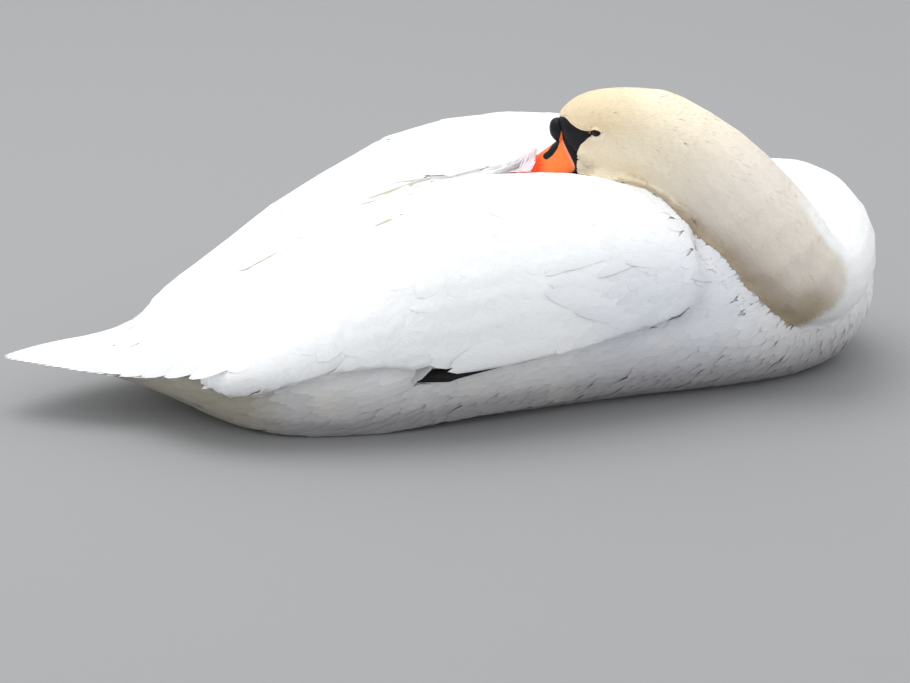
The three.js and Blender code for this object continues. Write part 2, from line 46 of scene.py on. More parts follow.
# ---------------------------------------------------------------- vectors
def unit(v):
    v = np.asarray(v, float)
    return v / np.maximum(np.linalg.norm(v, axis=-1, keepdims=True), 1e-9)


def smooth(low, high, x):
    """From 0 at low to 1 at high, with an even start and end. low may be the larger one."""
    t = np.clip((np.asarray(x, float) - low) / (high - low), 0, 1)
    return t * t * (3 - 2 * t)


def mix(a, b, t):
    return a + (b - a) * t


def srgb(r, g, b):
    """A display colour of 0 to 255 as linear light."""
    c = np.array((r, g, b)) / 255
    return np.where(c <= 0.04045, c / 12.92, ((c + 0.055) / 1.055) ** 2.4)


WAVES = np.random.default_rng(5).normal(size=(7, 9, 3))
PHASES = np.random.default_rng(6).random((7, 9)) * 2 * math.pi


def ripple(p, size, channel=0):
    """Smooth noise from about -1 to 1 with waves of about that size in millimetres."""
    k = unit(WAVES[channel]) * (2 * math.pi / size) * (0.6 + 0.8 * np.abs(WAVES[channel][:, :1]) % 1)
    return np.sin(p @ k.T + PHASES[channel]).sum(1) / 4.5


# ---------------------------------------------------------------- the camera's place
AZIMUTH, ELEVATION = math.radians(-13), math.radians(20.2)
FOCAL = 3890  # in dots of the 910 x 683 view
VIEW_WIDTH = 910
VIEW_X, VIEW_Y = 455, 341.5  # the view's middle
CAMERA_FAR = 3773
BODY_FAR = 3720  # about how far off the bird's near side is
BACKWARDS = np.array((
    math.sin(AZIMUTH) * math.cos(ELEVATION), -math.cos(AZIMUTH) * math.cos(ELEVATION), math.sin(ELEVATION)))
RIGHTWARDS = np.array((math.cos(AZIMUTH), math.sin(AZIMUTH), 0.0))
UPWARDS = np.cross(BACKWARDS, RIGHTWARDS)
CAMERA_AT = RIGHTWARDS * 9.7 + UPWARDS * 33.5 + BACKWARDS * CAMERA_FAR


def in_view(p):
    """Dots of the view where the camera sees points."""
    p = np.asarray(p, float) - CAMERA_AT
    far = -(p @ BACKWARDS)
    return np.stack((VIEW_X + FOCAL * (p @ RIGHTWARDS) / far, VIEW_Y - FOCAL * (p @ UPWARDS) / far), 1)


def sight(x, y):
    """The camera's line of sight through a dot of the view."""
    return unit(RIGHTWARDS * (x - VIEW_X) / FOCAL + UPWARDS * (VIEW_Y - y) / FOCAL - BACKWARDS)


def seen_at(surface, dots):
    """Places on a surface that the camera sees at these dots of the view."""
    found = []
    for dot in dots:
        ray = sight(*dot)
        place = surface.tree.ray_cast(Vector(CAMERA_AT), Vector(ray))[0]
        if place is None:
            place = surface.tree.find_nearest(Vector(CAMERA_AT + ray * BODY_FAR))[0]
        found.append(place)
    return np.array(found, float)


# ---------------------------------------------------------------- the head's and the neck's own axes
HEAD_MIDDLE = np.array((144.0, -23.0, 252.0))  # midway between the eyes
FORWARD = unit((-0.93, 0.28, -0.24))
HEAD_LEFT = unit(np.cross(Z, FORWARD))
HEAD_UP = np.cross(FORWARD, HEAD_LEFT)
AXES = np.stack((FORWARD, HEAD_LEFT, HEAD_UP))


def in_head(p):
    return (p - HEAD_MIDDLE) @ AXES.T


def from_head(q):
    return HEAD_MIDDLE + np.asarray(q, float) @ AXES


def head_dots(q):
    """Dots of the view where the camera sees points of the head, those of the hidden half mirrored."""
    q = np.asarray(q, float)
    return in_view(from_head(np.stack((q[:, 0], np.abs(q[:, 1]), q[:, 2]), 1)))


NECK_LINE = [
    (266, 12, 92), (303, 15, 112), (336, 10, 128), (360, -10, 133), (368, -44, 123),
    (356, -79, 111), (332, -104, 111), (309, -109, 137), (281, -92, 174), (246, -62, 212),
]
HEAD_LINE = [(-58, -20), (-29, -9), (0, -5), (26.5, -12)]
SPINE = np.array([*NECK_LINE, *(from_head((a, 0, mid)) for a, mid in HEAD_LINE)], float)
FINE = 12  # steps of the fine spine between two stations


def fine_spine():
    """Points of a smooth curve through the stations."""
    points = []
    padded = np.vstack((2 * SPINE[0] - SPINE[1], SPINE, 2 * SPINE[-1] - SPINE[-2]))
    for i in range(1, len(padded) - 2):
        a, b, c, d = padded[i - 1:i + 3]
        for j in range(FINE):
            t = j / FINE
            bent = (2 * a - 5 * b + 4 * c - d) * t * t + (3 * b - a - 3 * c + d) * t ** 3
            points.append(0.5 * (2 * b + (c - a) * t + bent))
    points.append(padded[-2])
    return np.array(points)


SPINE_POINTS = fine_spine()
SPINE_ALONG = unit(np.gradient(SPINE_POINTS, axis=0))


def along_spine(p):
    """(station, direction towards the head, offset from the spine) of each point."""
    best = np.empty(len(p), int)
    for i in range(0, len(p), 20000):
        gap = ((p[i:i + 20000, None] - SPINE_POINTS[None]) ** 2).sum(2)
        best[i:i + 20000] = gap.argmin(1)
    return best / FINE, SPINE_ALONG[best], p - SPINE_POINTS[best]


# ---------------------------------------------------------------- meshes
def add_object(name, data):
    made = bpy.data.objects.new(name, data)
    bpy.context.scene.collection.objects.link(made)
    return made


def arrays(mesh):
    """Corner places in millimetres and triangles of a mesh."""
    co = np.empty(len(mesh.vertices) * 3, np.float32)
    mesh.vertices.foreach_get("co", co)
    mesh.calc_loop_triangles()
    tris = np.empty(len(mesh.loop_triangles) * 3, np.int32)
    mesh.loop_triangles.foreach_get("vertices", tris)
    return co.reshape(-1, 3).astype(float) / MM, tris.reshape(-1, 3)


def edges_of(mesh):
    edges = np.empty(len(mesh.edges) * 2, np.int32)
    mesh.edges.foreach_get("vertices", edges)
    return edges.reshape(-1, 2)


def neighbour_sums(co, edges):
    total = np.zeros_like(co)
    np.add.at(total, edges[:, 0], co[edges[:, 1]])
    np.add.at(total, edges[:, 1], co[edges[:, 0]])
    return total


def welded(name, grow=0.0):
    """A CAD node's corners, joined where they meet and moved outwards, and its triangles."""
    bm = bmesh.new()
    bm.from_mesh(nodes[name].data)
    bmesh.ops.remove_doubles(bm, verts=bm.verts, dist=2e-5)
    bmesh.ops.triangulate(bm, faces=bm.faces)
    bm.normal_update()
    co = np.array([v.co + v.normal * grow * MM for v in bm.verts]) / MM
    tris = np.array([[v.index for v in f.verts] for f in bm.faces])
    bm.free()
    return co, tris


def new_object(name, co, faces, shade=True):
    mesh = bpy.data.meshes.new(name)
    mesh.from_pydata((np.asarray(co) * MM).tolist(), [], faces.tolist() if isinstance(faces, np.ndarray) else faces)
    mesh.update()
    if shade:
        mesh.shade_smooth()
    return add_object(name, mesh)


def remeshed(co, tris, voxel):
    """The outer surface of closed shapes that may cross, as one even mesh."""
    made = new_object("work", co, tris)
    step = made.modifiers.new("voxels", "REMESH")
    step.mode = "VOXEL"
    step.voxel_size = voxel * MM
    mesh = bpy.data.meshes.new_from_object(made.evaluated_get(bpy.context.evaluated_depsgraph_get()))
    bpy.data.objects.remove(made)
    return mesh


def relax(mesh, rounds, share=0.5, keep=None):
    """Smooths a mesh by drawing each corner towards its neighbours, except where keep is 1."""
    edges = edges_of(mesh)
    co, _ = arrays(mesh)
    count = np.bincount(edges.ravel(), minlength=len(co))[:, None]
    pull = share if keep is None else share * (1 - keep[:, None])
    for _ in range(rounds):
        for way, part in ((1, 1), (-1.02, 0.6)):
            co = co + pull * way * (neighbour_sums(co, edges) / np.maximum(count, 1) - co) * part
    put(mesh, co)
    return co


def put(mesh, co):
    """Moves a mesh's corners to these places in millimetres."""
    mesh.vertices.foreach_set("co", (co * MM).astype(np.float32).ravel())
    mesh.update()


def face_crosses(co, tris):
    a, b, c = (co[tris[:, k]] for k in range(3))
    return np.cross(b - a, c - a)


def corner_normals(co, tris):
    """Smooth normals at the corners, weighted by the faces' sizes."""
    cross = face_crosses(co, tris)
    out = np.zeros_like(co)
    for k in range(3):
        np.add.at(out, tris[:, k], cross)
    return unit(out)


def fill_folds(mesh, rounds):
    """Fills the bottoms of narrow folds: corners move out to the middle of their neighbours, never in."""
    edges = edges_of(mesh)
    co, tris = arrays(mesh)
    count = np.bincount(edges.ravel(), minlength=len(co))[:, None]
    for _ in range(rounds):
        normals = corner_normals(co, tris)
        rise = ((neighbour_sums(co, edges) / count - co) * normals).sum(1).clip(0)
        co = co + 0.8 * rise[:, None] * normals
    put(mesh, co)


class Surface:
    """A closed surface that things are laid on."""

    def __init__(self, co, tris):
        self.co, self.tris = co, tris
        self.normals = corner_normals(co, tris)
        self.tree = BVHTree.FromPolygons(co.tolist(), tris.tolist())

    def nearest(self, points):
        """Nearest place on the surface to each point, and the smooth normal there."""
        places = np.empty_like(points)
        faces = np.empty(len(points), int)
        find = self.tree.find_nearest
        for i, p in enumerate(points.tolist()):
            place, _, face, _ = find(p)
            places[i] = place
            faces[i] = face
        t = self.tris[faces]
        a, b, c = self.co[t[:, 0]], self.co[t[:, 1]], self.co[t[:, 2]]
        whole = np.linalg.norm(np.cross(b - a, c - a), axis=1) + 1e-9
        u = (np.linalg.norm(np.cross(b - places, c - places), axis=1) / whole)[:, None]
        v = (np.linalg.norm(np.cross(c - places, a - places), axis=1) / whole)[:, None]
        n = self.normals[t[:, 0]] * u + self.normals[t[:, 1]] * v + self.normals[t[:, 2]] * (1 - u - v)
        return places, unit(n)


def stack(shapes):
    """Several shapes' corners and triangles as one shape."""
    co, tris, base = [], [], 0
    for c, t in shapes:
        co.append(c)
        tris.append(t + base)
        base += len(c)
    return np.vstack(co), np.vstack(tris)


# ---------------------------------------------------------------- the outside of the coat, and the skin under it
BODY = ["trunk", "wing_right", "wing_left"]
NECK = ["neck_base", "neck_bend", "neck_upper"]
FLESH = [*BODY, *NECK, "head"]


def outer_form(name):
    """Faces of a CAD node. The plumage under the cheek and the upper neck sags until it lies on the wing."""
    co, tris = welded(name, 0.4)
    if name not in ("neck_upper", "head"):
        return co, tris
    sag = 9.5 * smooth(7.0, 8.8, along_spine(co)[0])
    return stack([(co, tris), (co - HEAD_UP * sag[:, None], tris)])


FORMS = {name: outer_form(name) for name in FLESH}


def own_surface(names, voxel, rounds=3):
    """Mesh and surface of some CAD nodes joined into one form."""
    mesh = remeshed(*stack([FORMS[name] if name in FORMS else welded(name, 0.3) for name in names]), voxel)
    relax(mesh, rounds)
    return mesh, Surface(*arrays(mesh))


def gap_to(surface, points, most=60.0):
    """Distance of each point from a surface, up to a limit."""
    found = (surface.tree.find_nearest(p, most)[3] for p in points.tolist())
    return np.array([most if gap is None else gap for gap in found])


VOXEL = 3.2  # fineness of the remeshed forms
body_mesh = own_surface([*BODY, "neck_base"], VOXEL)[0]
# the shoulder feathers hide the wings' front rims
relax(body_mesh, 45, keep=1 - smooth(105, 175, arrays(body_mesh)[0][:, 0]))
folded = stack([FORMS[name] for name in ("neck_bend", "neck_upper", "head")])
hull_mesh = remeshed(*stack([arrays(body_mesh), folded]), VOXEL)
relax(hull_mesh, 3)
fill_folds(hull_mesh, 24)
relax(hull_mesh, 3)
hull = Surface(*arrays(hull_mesh))
folded = Surface(*folded)
body_side = own_surface(["trunk", "neck_base"], VOXEL)[1]
wing_side = {"right": own_surface(["wing_right"], 3.0)[1], "left": own_surface(["wing_left"], 3.0)[1]}
bird = own_surface([*BODY, "neck_base", "tail", "primaries_right", "primaries_left"], VOXEL, 6)[1]


def region_of(points):
    """Index into FLESH of the CAD node that each point lies on."""
    best = np.full(len(points), 1e9)
    index = np.zeros(len(points), int)
    for k, form in enumerate(FORMS.values()):
        near = gap_to(Surface(*form), points)
        index[near < best] = k
        best = np.minimum(best, near)
    return index


TRUNK, WING_RIGHT, WING_LEFT, NECK_BASE, NECK_BEND, NECK_UPPER, HEAD = range(7)
# where the camera sees the neck's plumage meet the wing's
CONTACT = [
    (572, 172), (602, 176), (620, 181), (640, 186), (652, 190.6), (664.5, 197.5), (676.7, 211), (698, 231),
    (721, 251), (735, 266), (752, 288), (767, 303), (775, 311), (781, 318),
]
STRIP = 18  # width in dots of the strips on both sides of that line


def part_of(points):
    """Like region_of, but with the neck's edge on the wing where the camera sees it."""
    part = region_of(points)
    dots = in_view(points)
    station = along_spine(points)[0]
    close = (gap_to(folded, points, 30) < 18) & (station > 5.6) & (hull.nearest(points)[1] @ BACKWARDS > -0.1)
    strips = (CONTACT + [(x + shift, y - shift) for x, y in CONTACT[::-1]] for shift in (STRIP, -STRIP))
    above, below = (outside(dots, strip) < 0 for strip in strips)
    part[close & above & (part < NECK_BASE)] = NECK_UPPER
    part[close & below & (part > NECK_BEND)] = WING_RIGHT
    return part


hull_region = region_of(hull.co)
head_place = in_head(hull.co)
SKIN_DEPTH = {
    TRUNK: 3.0, WING_RIGHT: 2.2, WING_LEFT: 2.2, NECK_BASE: 2.8, NECK_BEND: 2.2, NECK_UPPER: 2.1, HEAD: 1.8}
depth = np.array([SKIN_DEPTH[k] for k in hull_region])
depth[hull_region == HEAD] = mix(2.1, 1.2, smooth(-50, 5, head_place[hull_region == HEAD, 0]))
edges = edges_of(hull_mesh)
for _ in range(8):
    total = sum(np.bincount(edges[:, k], depth[edges[:, 1 - k]], len(depth)) for k in (0, 1))
    depth = total / np.bincount(edges.ravel(), minlength=len(depth))
skin_mesh = remeshed(hull.co - hull.normals * depth[:, None], hull.tris, 4.0)
skin_co = relax(skin_mesh, 3)
for _ in range(3):  # the skin stays under the coat in the folds as well
    places, normals = hull.nearest(skin_co)
    least = mix(1.7, 1.0, smooth(9.5, 11, along_spine(skin_co)[0]))
    short = np.maximum(least - ((places - skin_co) * normals).sum(1), 0)
    skin_co = skin_co - normals * short[:, None]
    put(skin_mesh, skin_co)

EYE_RADIUS = 6.6
EYE_ASIDE = 23.4  # of each eye's middle from the head's middle plane


def refine_head(mesh):
    """Finer faces over the face, and finer still round the eyes."""
    bm = bmesh.new()
    bm.from_mesh(mesh)

    def halve(chosen):
        middles = [in_head(np.array((e.verts[0].co + e.verts[1].co) / 2)[None] / MM)[0] for e in bm.edges]
        near = [e for e, q in zip(bm.edges, middles) if chosen(q)]
        bmesh.ops.subdivide_edges(bm, edges=near, cuts=1, use_grid_fill=True, smooth=0.4)

    for reach, forward in ((48, -26), (40, -16)):
        halve(lambda q: q[0] > forward and np.linalg.norm(q - (5, 0, -5)) < reach)
    halve(lambda q: math.hypot(q[0], q[2]) < 12 and abs(q[1]) > 14)
    bmesh.ops.triangulate(bm, faces=[f for f in bm.faces if len(f.verts) > 4])
    bm.to_mesh(mesh)
    bm.free()
    mesh.update()


refine_head(skin_mesh)

# the bare black skin of the face as the camera sees it: from the knob to the eye and down to the corner of the mouth
LORES = [
    (556, 112), (560.8, 116.4), (564.6, 116.9), (567.2, 119.1), (571, 123.6), (575.5, 127.1), (581.2, 130),
    (586.3, 131), (591.2, 131), (592.5, 133.4), (591.2, 135.9), (587.6, 138.3), (583.8, 142.1), (580.6, 144.8),
    (577.7, 151), (576.3, 157.4), (575.9, 163.8), (575.9, 169), (576.4, 176), (568, 176), (548, 150),
]
BORDER = [  # between the orange and the black beside it
    (561.6, 110), (561.6, 130.6), (562.1, 135.7), (563.4, 141.5), (565.9, 147.2), (569.7, 154.8), (572.9, 161.2),
    (575.4, 167), (576.4, 172), (577, 186), (640, 186), (640, 110),
]
NOSTRIL = [(556.6, 140.5), (554.6, 147), (550.4, 153), (546.2, 156.2)]


def from_edge(dots, a, b):
    """Distance of the dots from the straight line between two."""
    along = b - a
    t = np.clip(((dots - a) @ along) / (along @ along), 0, 1)
    return np.linalg.norm(dots - a - t[:, None] * along, axis=1)


def outside(dots, corners):
    """How far the dots lie outside (positive) or inside (negative) of a closed outline."""
    inside = np.zeros(len(dots), bool)
    far = np.full(len(dots), 1e9)
    corners = np.array(corners, float)
    for a, b in zip(corners, np.roll(corners, -1, axis=0)):
        far = np.minimum(far, from_edge(dots, a, b))
        crosses = (a[1] > dots[:, 1]) != (b[1] > dots[:, 1])
        across, down = b - a
        x = a[0] + (dots[:, 1] - a[1]) / (down if abs(down) >= 1e-9 else 1e-9) * across
        inside ^= crosses & (dots[:, 0] < x)
    return np.where(inside, -far, far)


def beside(dots, line):
    """Distance of the dots from an open line."""
    far = np.full(len(dots), 1e9)
    line = np.array(line, float)
    for a, b in zip(line[:-1], line[1:]):
        far = np.minimum(far, from_edge(dots, a, b))
    return far


FAR_OFF = 50  # what stands for any place that is well outside the bare skin


def lore_distance(q):
    """Dots outside (positive) or inside (negative) of the bare skin, for points in the head's frame."""
    return np.where(q[:, 0] > 2, outside(head_dots(q), LORES), FAR_OFF)


def from_eye(q, side):
    """Points of the head's frame measured from the middle of the eye on that side."""
    return q - (0, side * EYE_ASIDE, 0)


def eye_opening(off):
    """Below 1 inside the almond-shaped opening between the lids. off is measured from the middle of the eye."""
    a, c = off[:, 0] - 1.6, off[:, 2] - 0.35 - 0.16 * (off[:, 0] - 1.6)
    half = np.where(a > 0, 4.3, 4.8)
    return np.hypot(a / half, c / (3.15 - 0.07 * np.abs(a)))


def shape_face(mesh):
    """Sockets and lids round the eyes, brow, cheek and the fold at the gape."""
    co, tris = arrays(mesh)
    normals = corner_normals(co, tris)
    q = in_head(co)
    near = (q[:, 0] > -30) & (np.linalg.norm(q - (0, 0, -5), axis=1) < 60)
    for side in (-1, 1):
        off = from_eye(q, side)
        r = np.hypot(off[:, 0], off[:, 2])
        here = near & (q[:, 1] * side > 8) & (r < 15)
        slit = eye_opening(off)
        on_ball = EYE_ASIDE + np.sqrt(np.maximum((EYE_RADIUS + 0.5) ** 2 - r ** 2, 0))
        lid = smooth(8.0, 6.2, r)
        level = q[:, 1] * side
        rim = 0.5 * np.exp(-((slit - 1.16) / 0.12) ** 2)
        target = np.where(slit < 1, EYE_ASIDE + 1.0, on_ball + rim)
        level = mix(level, target, lid)
        level -= 0.7 * np.exp(-((r - 8.6) / 1.5) ** 2)
        q[here, 1] = (level * side)[here]
    brow = np.exp(-((q[:, 0] - 4) / 11) ** 2 - ((q[:, 2] - 10) / 4.5) ** 2) * (abs(q[:, 1]) > 8)
    gape = np.exp(-((q[:, 0] - 21) / 5) ** 2 - ((q[:, 2] + 36) / 3) ** 2)
    cheek = np.exp(-((q[:, 0] - 8) / 12) ** 2 - ((q[:, 2] + 24) / 9) ** 2) * (abs(q[:, 1]) > 8)
    moved = from_head(q)
    swell = np.where(near, 0.9 * brow - 1.0 * gape + 0.8 * cheek, 0)
    put(mesh, moved + normals * swell[:, None])


shape_face(skin_mesh)
skin = add_object("skin", skin_mesh)
skin_mesh.shade_smooth()

# ---------------------------------------------------------------- markings
WHITE = srgb(243, 244, 245)
CREAM = srgb(234, 214, 178)
CHEEK = srgb(246, 233, 207)
NECK_GREY = srgb(222, 213, 202)
# brown of the real stain on the neck's lower loop, used also for painted shade along the crease where the neck meets
# the wing
STAIN_AND_CREASE_SHADE = srgb(156, 136, 102)
# grey of the painted shade under the body
BELLY_SHADE = srgb(158, 154, 156)
# the edge of the neck's dingy plumage against the white of the breast, as the camera sees it, and its stained side
NECK_EDGE = [
    (764, 150), (785, 185), (801, 208), (812, 225), (825, 245), (838, 258), (843, 268), (843, 282), (840, 295),
    (832, 305), (815, 316), (797, 326), (760, 380), (600, 380), (500, 50), (740, 50),
]
STAINED = [(676.7, 213), (690, 232), (721, 259), (741, 283), (770, 312), (797, 322), (812, 316)]


def tinged(colour, other, share):
    return mix(colour, other, share[:, None])


def markings(p, on_neck):
    """Colour of the plumage at each point, with painted shade under the body, over the shoulder, under the tail and
    along the neck's crease. on_neck is 1 on the neck and head, 0 on the trunk, -1 on wings and tail.
    """
    on_neck = np.asarray(on_neck, float)
    low = np.where(on_neck < 0, mix(0.3, 1, smooth(20, 125, p[:, 0])), 1)
    t, _, _ = along_spine(p)
    q = in_head(p)
    dots = in_view(p)
    # painted shade: grey blue over the shoulder and the breast under the neck
    shoulder = smooth(60, 150, p[:, 0]) * smooth(200, 120, p[:, 2]) * smooth(300, 230, p[:, 0])
    body = tinged(WHITE, srgb(224, 226, 233), shoulder)
    # painted shade: the plumage greys towards the bottom of the body, where less light reaches; on the wings and tail
    # it is weaker towards the rear
    body = tinged(body, BELLY_SHADE, smooth(88, 6, p[:, 2]) * 0.95 * low)
    body = tinged(body, srgb(232, 224, 206), 0.2 * smooth(0.2, 1, ripple(p, 70, 1)) * smooth(120, 60, p[:, 2]))
    # painted shade: olive grey under the tail, on the trunk's feathers only
    under_tail_shade = 0.85 * smooth(-160, -225, p[:, 0]) * smooth(56, 46, p[:, 2]) * (on_neck >= 0)
    body = tinged(body, srgb(166, 160, 140), under_tail_shade)
    neck = tinged(WHITE, NECK_GREY, smooth(3.0, 6.0, t))
    neck = tinged(neck, CHEEK, smooth(8.2, 10.5, t))
    neck = tinged(neck, CREAM, smooth(9.6, 12, t) * smooth(-24, 8, q[:, 2]))
    under_eye = np.exp(-((np.hypot(q[:, 0], q[:, 2]) - 6.0) / 1.5) ** 2) * smooth(1, -3, q[:, 2]) * (abs(q[:, 1]) > 8)
    neck = tinged(neck, srgb(250, 246, 240), 0.6 * under_eye)
    stain_and_crease_shade = smooth(mix(8, 46, smooth(640, 790, dots[:, 0])), 2, beside(dots, STAINED))
    # painted shade: a dark line along the crease where the neck's plumage meets the wing
    stain_and_crease_shade = np.maximum(stain_and_crease_shade, 0.8 * smooth(5, 1, beside(dots, CONTACT[2:])))
    stain_and_crease_shade *= smooth(3.6, 4.6, t) * (hull.nearest(p)[1] @ BACKWARDS > -0.2)
    neck = tinged(neck, STAIN_AND_CREASE_SHADE, 0.95 * stain_and_crease_shade * (0.85 + 0.15 * ripple(p, 22, 2)))
    beyond = smooth(-2, 7, outside(dots, NECK_EDGE)) * smooth(8.2, 7.2, t)
    neck = tinged(neck, WHITE, 0.9 * beyond)
    made = tinged(body, neck, np.clip(on_neck, 0, 1))
    return np.clip(made * (1 + 0.015 * ripple(p, 26, 3))[:, None], 0, 1)


# ---------------------------------------------------------------- unwrap for the coat's baked colours
TAIL_END, BODY_LONG, BODY_AXIS_Z = -430, 862, 80
PATCH_HALF = 0.0015  # of a tuft's patch on the unwrap


def unwrap(p, on_neck):
    """Places on the unwrap: the neck and head wound round their spine, the body round its long axis."""
    t, way, off = along_spine(p)
    u_body = 0.02 + 0.96 * np.clip((p[:, 0] - TAIL_END) / BODY_LONG, 0, 1)
    round_body = (np.arctan2(p[:, 1], -(p[:, 2] - BODY_AXIS_Z)) + math.pi) / (2 * math.pi)
    side = unit(np.cross(HEAD_UP[None], way))
    up = np.cross(way, side)
    round_neck = (np.arctan2((off * side).sum(1), -(off * up).sum(1)) + math.pi) / (2 * math.pi)
    u_neck = 0.02 + 0.96 * np.clip(t / (len(SPINE) - 1), 0, 1)
    u = np.where(on_neck > 0.5, u_neck, u_body)
    v = np.where(on_neck > 0.5, 0.02 + 0.3 * round_neck, 0.36 + 0.62 * round_body)
    return np.stack((u, v), 1)


def set_colour(mesh, colour):
    layer = mesh.color_attributes.new("plumage", "FLOAT_COLOR", "POINT")
    flat = np.ones((len(mesh.vertices), 4), np.float32)
    flat[:, :3] = colour
    layer.data.foreach_set("color", flat.ravel())


def set_number(mesh, name, values):
    mesh.attributes.new(name, "FLOAT", "POINT").data.foreach_set("value", np.asarray(values, np.float32))


def set_uv(mesh, name, per_loop):
    mesh.uv_layers.new(name=name).data.foreach_set("uv", np.asarray(per_loop, np.float32).ravel())


def loops_of(mesh):
    index = np.empty(len(mesh.loops), np.int32)
    mesh.loops.foreach_get("vertex_index", index)
    return index


skin_co = arrays(skin_mesh)[0]
skin_neck = np.isin(part_of(skin_co), (NECK_BEND, NECK_UPPER, HEAD)).astype(float)
skin_head = in_head(skin_co)
lore = lore_distance(skin_head)
lore[(skin_neck < 0.5) | (skin_head[:, 0] < -8)] = FAR_OFF
for side in (-1, 1):
    off = from_eye(skin_head, side)
    lore = np.minimum(lore, np.where(off[:, 1] * side > -9, (eye_opening(off) - 1.04) * 3.5, FAR_OFF))
# the red corner of the eye
red = np.linalg.norm(head_dots(skin_head) - (589.6, 132.6), axis=1) < 1.3
red &= (lore < 0.3) & (np.abs(skin_head[:, 1]) > 8)
lore[red] = 1
skin_colour = markings(skin_co, skin_neck)
skin_colour[red] = srgb(168, 82, 64)
set_colour(skin_mesh, skin_colour)
set_number(skin_mesh, "lore", lore)
set_uv(skin_mesh, "OFBake", unwrap(skin_co, skin_neck)[loops_of(skin_mesh)])


# ---------------------------------------------------------------- feathers
def scatter(surface, chosen, spacing, seed, within=1.6):
    """Places on the chosen faces where that surface is outermost, no two nearer than the spacing there."""
    rng = np.random.default_rng(seed)
    tris = surface.tris[chosen]
    a, b, c = (surface.co[tris[:, k]] for k in range(3))
    area = np.linalg.norm(np.cross(b - a, c - a), axis=1) / 2
    room = spacing((a + b + c) / 3)
    weight = area / room ** 2
    count = int(weight.sum() * 5)
    pick = rng.choice(len(tris), count, p=weight / weight.sum())
    u = rng.random((count, 2))
    u = np.where(u.sum(1, keepdims=True) > 1, 1 - u, u)
    places = a[pick] + u[:, :1] * (b - a)[pick] + u[:, 1:] * (c - a)[pick]
    reach = room[pick]
    cell = reach.max()
    grid = {}
    kept = []
    keys = np.floor(places / cell).astype(int).tolist()
    around = [(i, j, k) for i in (-1, 0, 1) for j in (-1, 0, 1) for k in (-1, 0, 1)]
    for n, (place, near, (x, y, z)) in enumerate(zip(places.tolist(), (reach ** 2).tolist(), keys)):
        px, py, pz = place
        free = True
        for i, j, k in around:
            for ox, oy, oz in grid.get((x + i, y + j, z + k), ()):
                if (ox - px) ** 2 + (oy - py) ** 2 + (oz - pz) ** 2 < near:
                    free = False
                    break
            if not free:
                break
        if free:
            grid.setdefault((x, y, z), []).append((px, py, pz))
            kept.append(n)
    places = places[kept]
    if within:
        places = places[np.linalg.norm(hull.nearest(places)[0] - places, axis=1) < within]
    return places


def laid(surface, roots, way, length, steps, over=4.0, short=False):
    """Lines from the roots over the surface, each ending a little past the place where the surface falls away.
    Short ones end at folds as well."""
    places, normals = surface.nearest(roots)
    line, tops = [places], [normals]
    heading = unit(way - (way * normals).sum(1, keepdims=True) * normals)
    step = (length / steps)[:, None]
    going = np.ones(len(roots), bool)
    whole = np.ones(len(roots))
    for i in range(steps):
        ahead = line[-1] + heading * step
        places, normals = surface.nearest(ahead)
        off = np.linalg.norm(places - ahead, axis=1)
        away = ((heading * normals).sum(1) > 0) | short
        turns = (tops[-1] * normals).sum(1) < (0.82 if short else 0.6)
        ends = going & away & (turns | (off > 0.45 * step[:, 0]))
        whole = np.where(ends, np.minimum((i + 0.1) / steps + over / length, 1), whole)
        going &= ~ends
        keep = going[:, None]
        places = np.where(keep, places, ahead)
        normals = np.where(keep, normals, tops[-1])
        turned = unit(heading - (heading * normals).sum(1, keepdims=True) * normals)
        heading = np.where(keep, turned, heading)
        line.append(places)
        tops.append(normals)
    return np.stack(line, 1), np.stack(tops, 1), whole


def at_share(line, share):
    """Points of lines (n, k, 3) at shares (n, r) of their length."""
    place = np.clip(share, 0, 1) * (line.shape[1] - 1)
    low = np.minimum(place.astype(int), line.shape[1] - 2)
    f = (place - low)[..., None]
    rows = np.arange(len(line))[:, None]
    return line[rows, low] * (1 - f) + line[rows, low + 1] * f


# plans of vanes: (share of the length, share of the width)
VANE = [(0.0, 0.0), (0.1, 0.42), (0.28, 0.8), (0.5, 0.98), (0.7, 1.0), (0.86, 0.8), (0.95, 0.5), (1.0, 0.0)]
LANCE = [(0.0, 0.0), (0.12, 0.5), (0.35, 0.9), (0.62, 1.0), (0.82, 0.74), (0.94, 0.38), (1.0, 0.0)]
TUFT = [(0.0, 0.0), (0.25, 0.85), (0.7, 0.8), (1.0, 0.0)]


def bedded(surface, spine, top, body):
    """Rows of a vane's corners laid on the surface where that lies close under them, and its normals there."""
    across = body.shape[2]
    rows = spine.reshape(-1, 3)
    loose = np.repeat(np.linalg.norm(surface.nearest(rows)[0] - rows, axis=1) > 0.7, across)
    base = np.repeat(rows, across, axis=0)
    reach = body.reshape(-1, 3) - base
    outwards = np.repeat(top.reshape(-1, 3), across, axis=0)
    normals = outwards.copy()
    flat = base + reach
    todo = np.flatnonzero(~loose)
    for part in (1, 0.7, 0.45, 0.2, 0):
        wanted = base[todo] + part * reach[todo]
        near, facing = surface.nearest(wanted)
        gap = np.linalg.norm(near - wanted, axis=1)
        close = gap < 0.3 * part * np.linalg.norm(reach[todo], axis=1) + 0.8
        good = close & ((facing * outwards[todo]).sum(1) > 0.4) | (part == 0)
        flat[todo[good]] = near[good]
        normals[todo[good]] = facing[good]
        todo = todo[~good]
    return flat.reshape(body.shape), normals.reshape(body.shape)


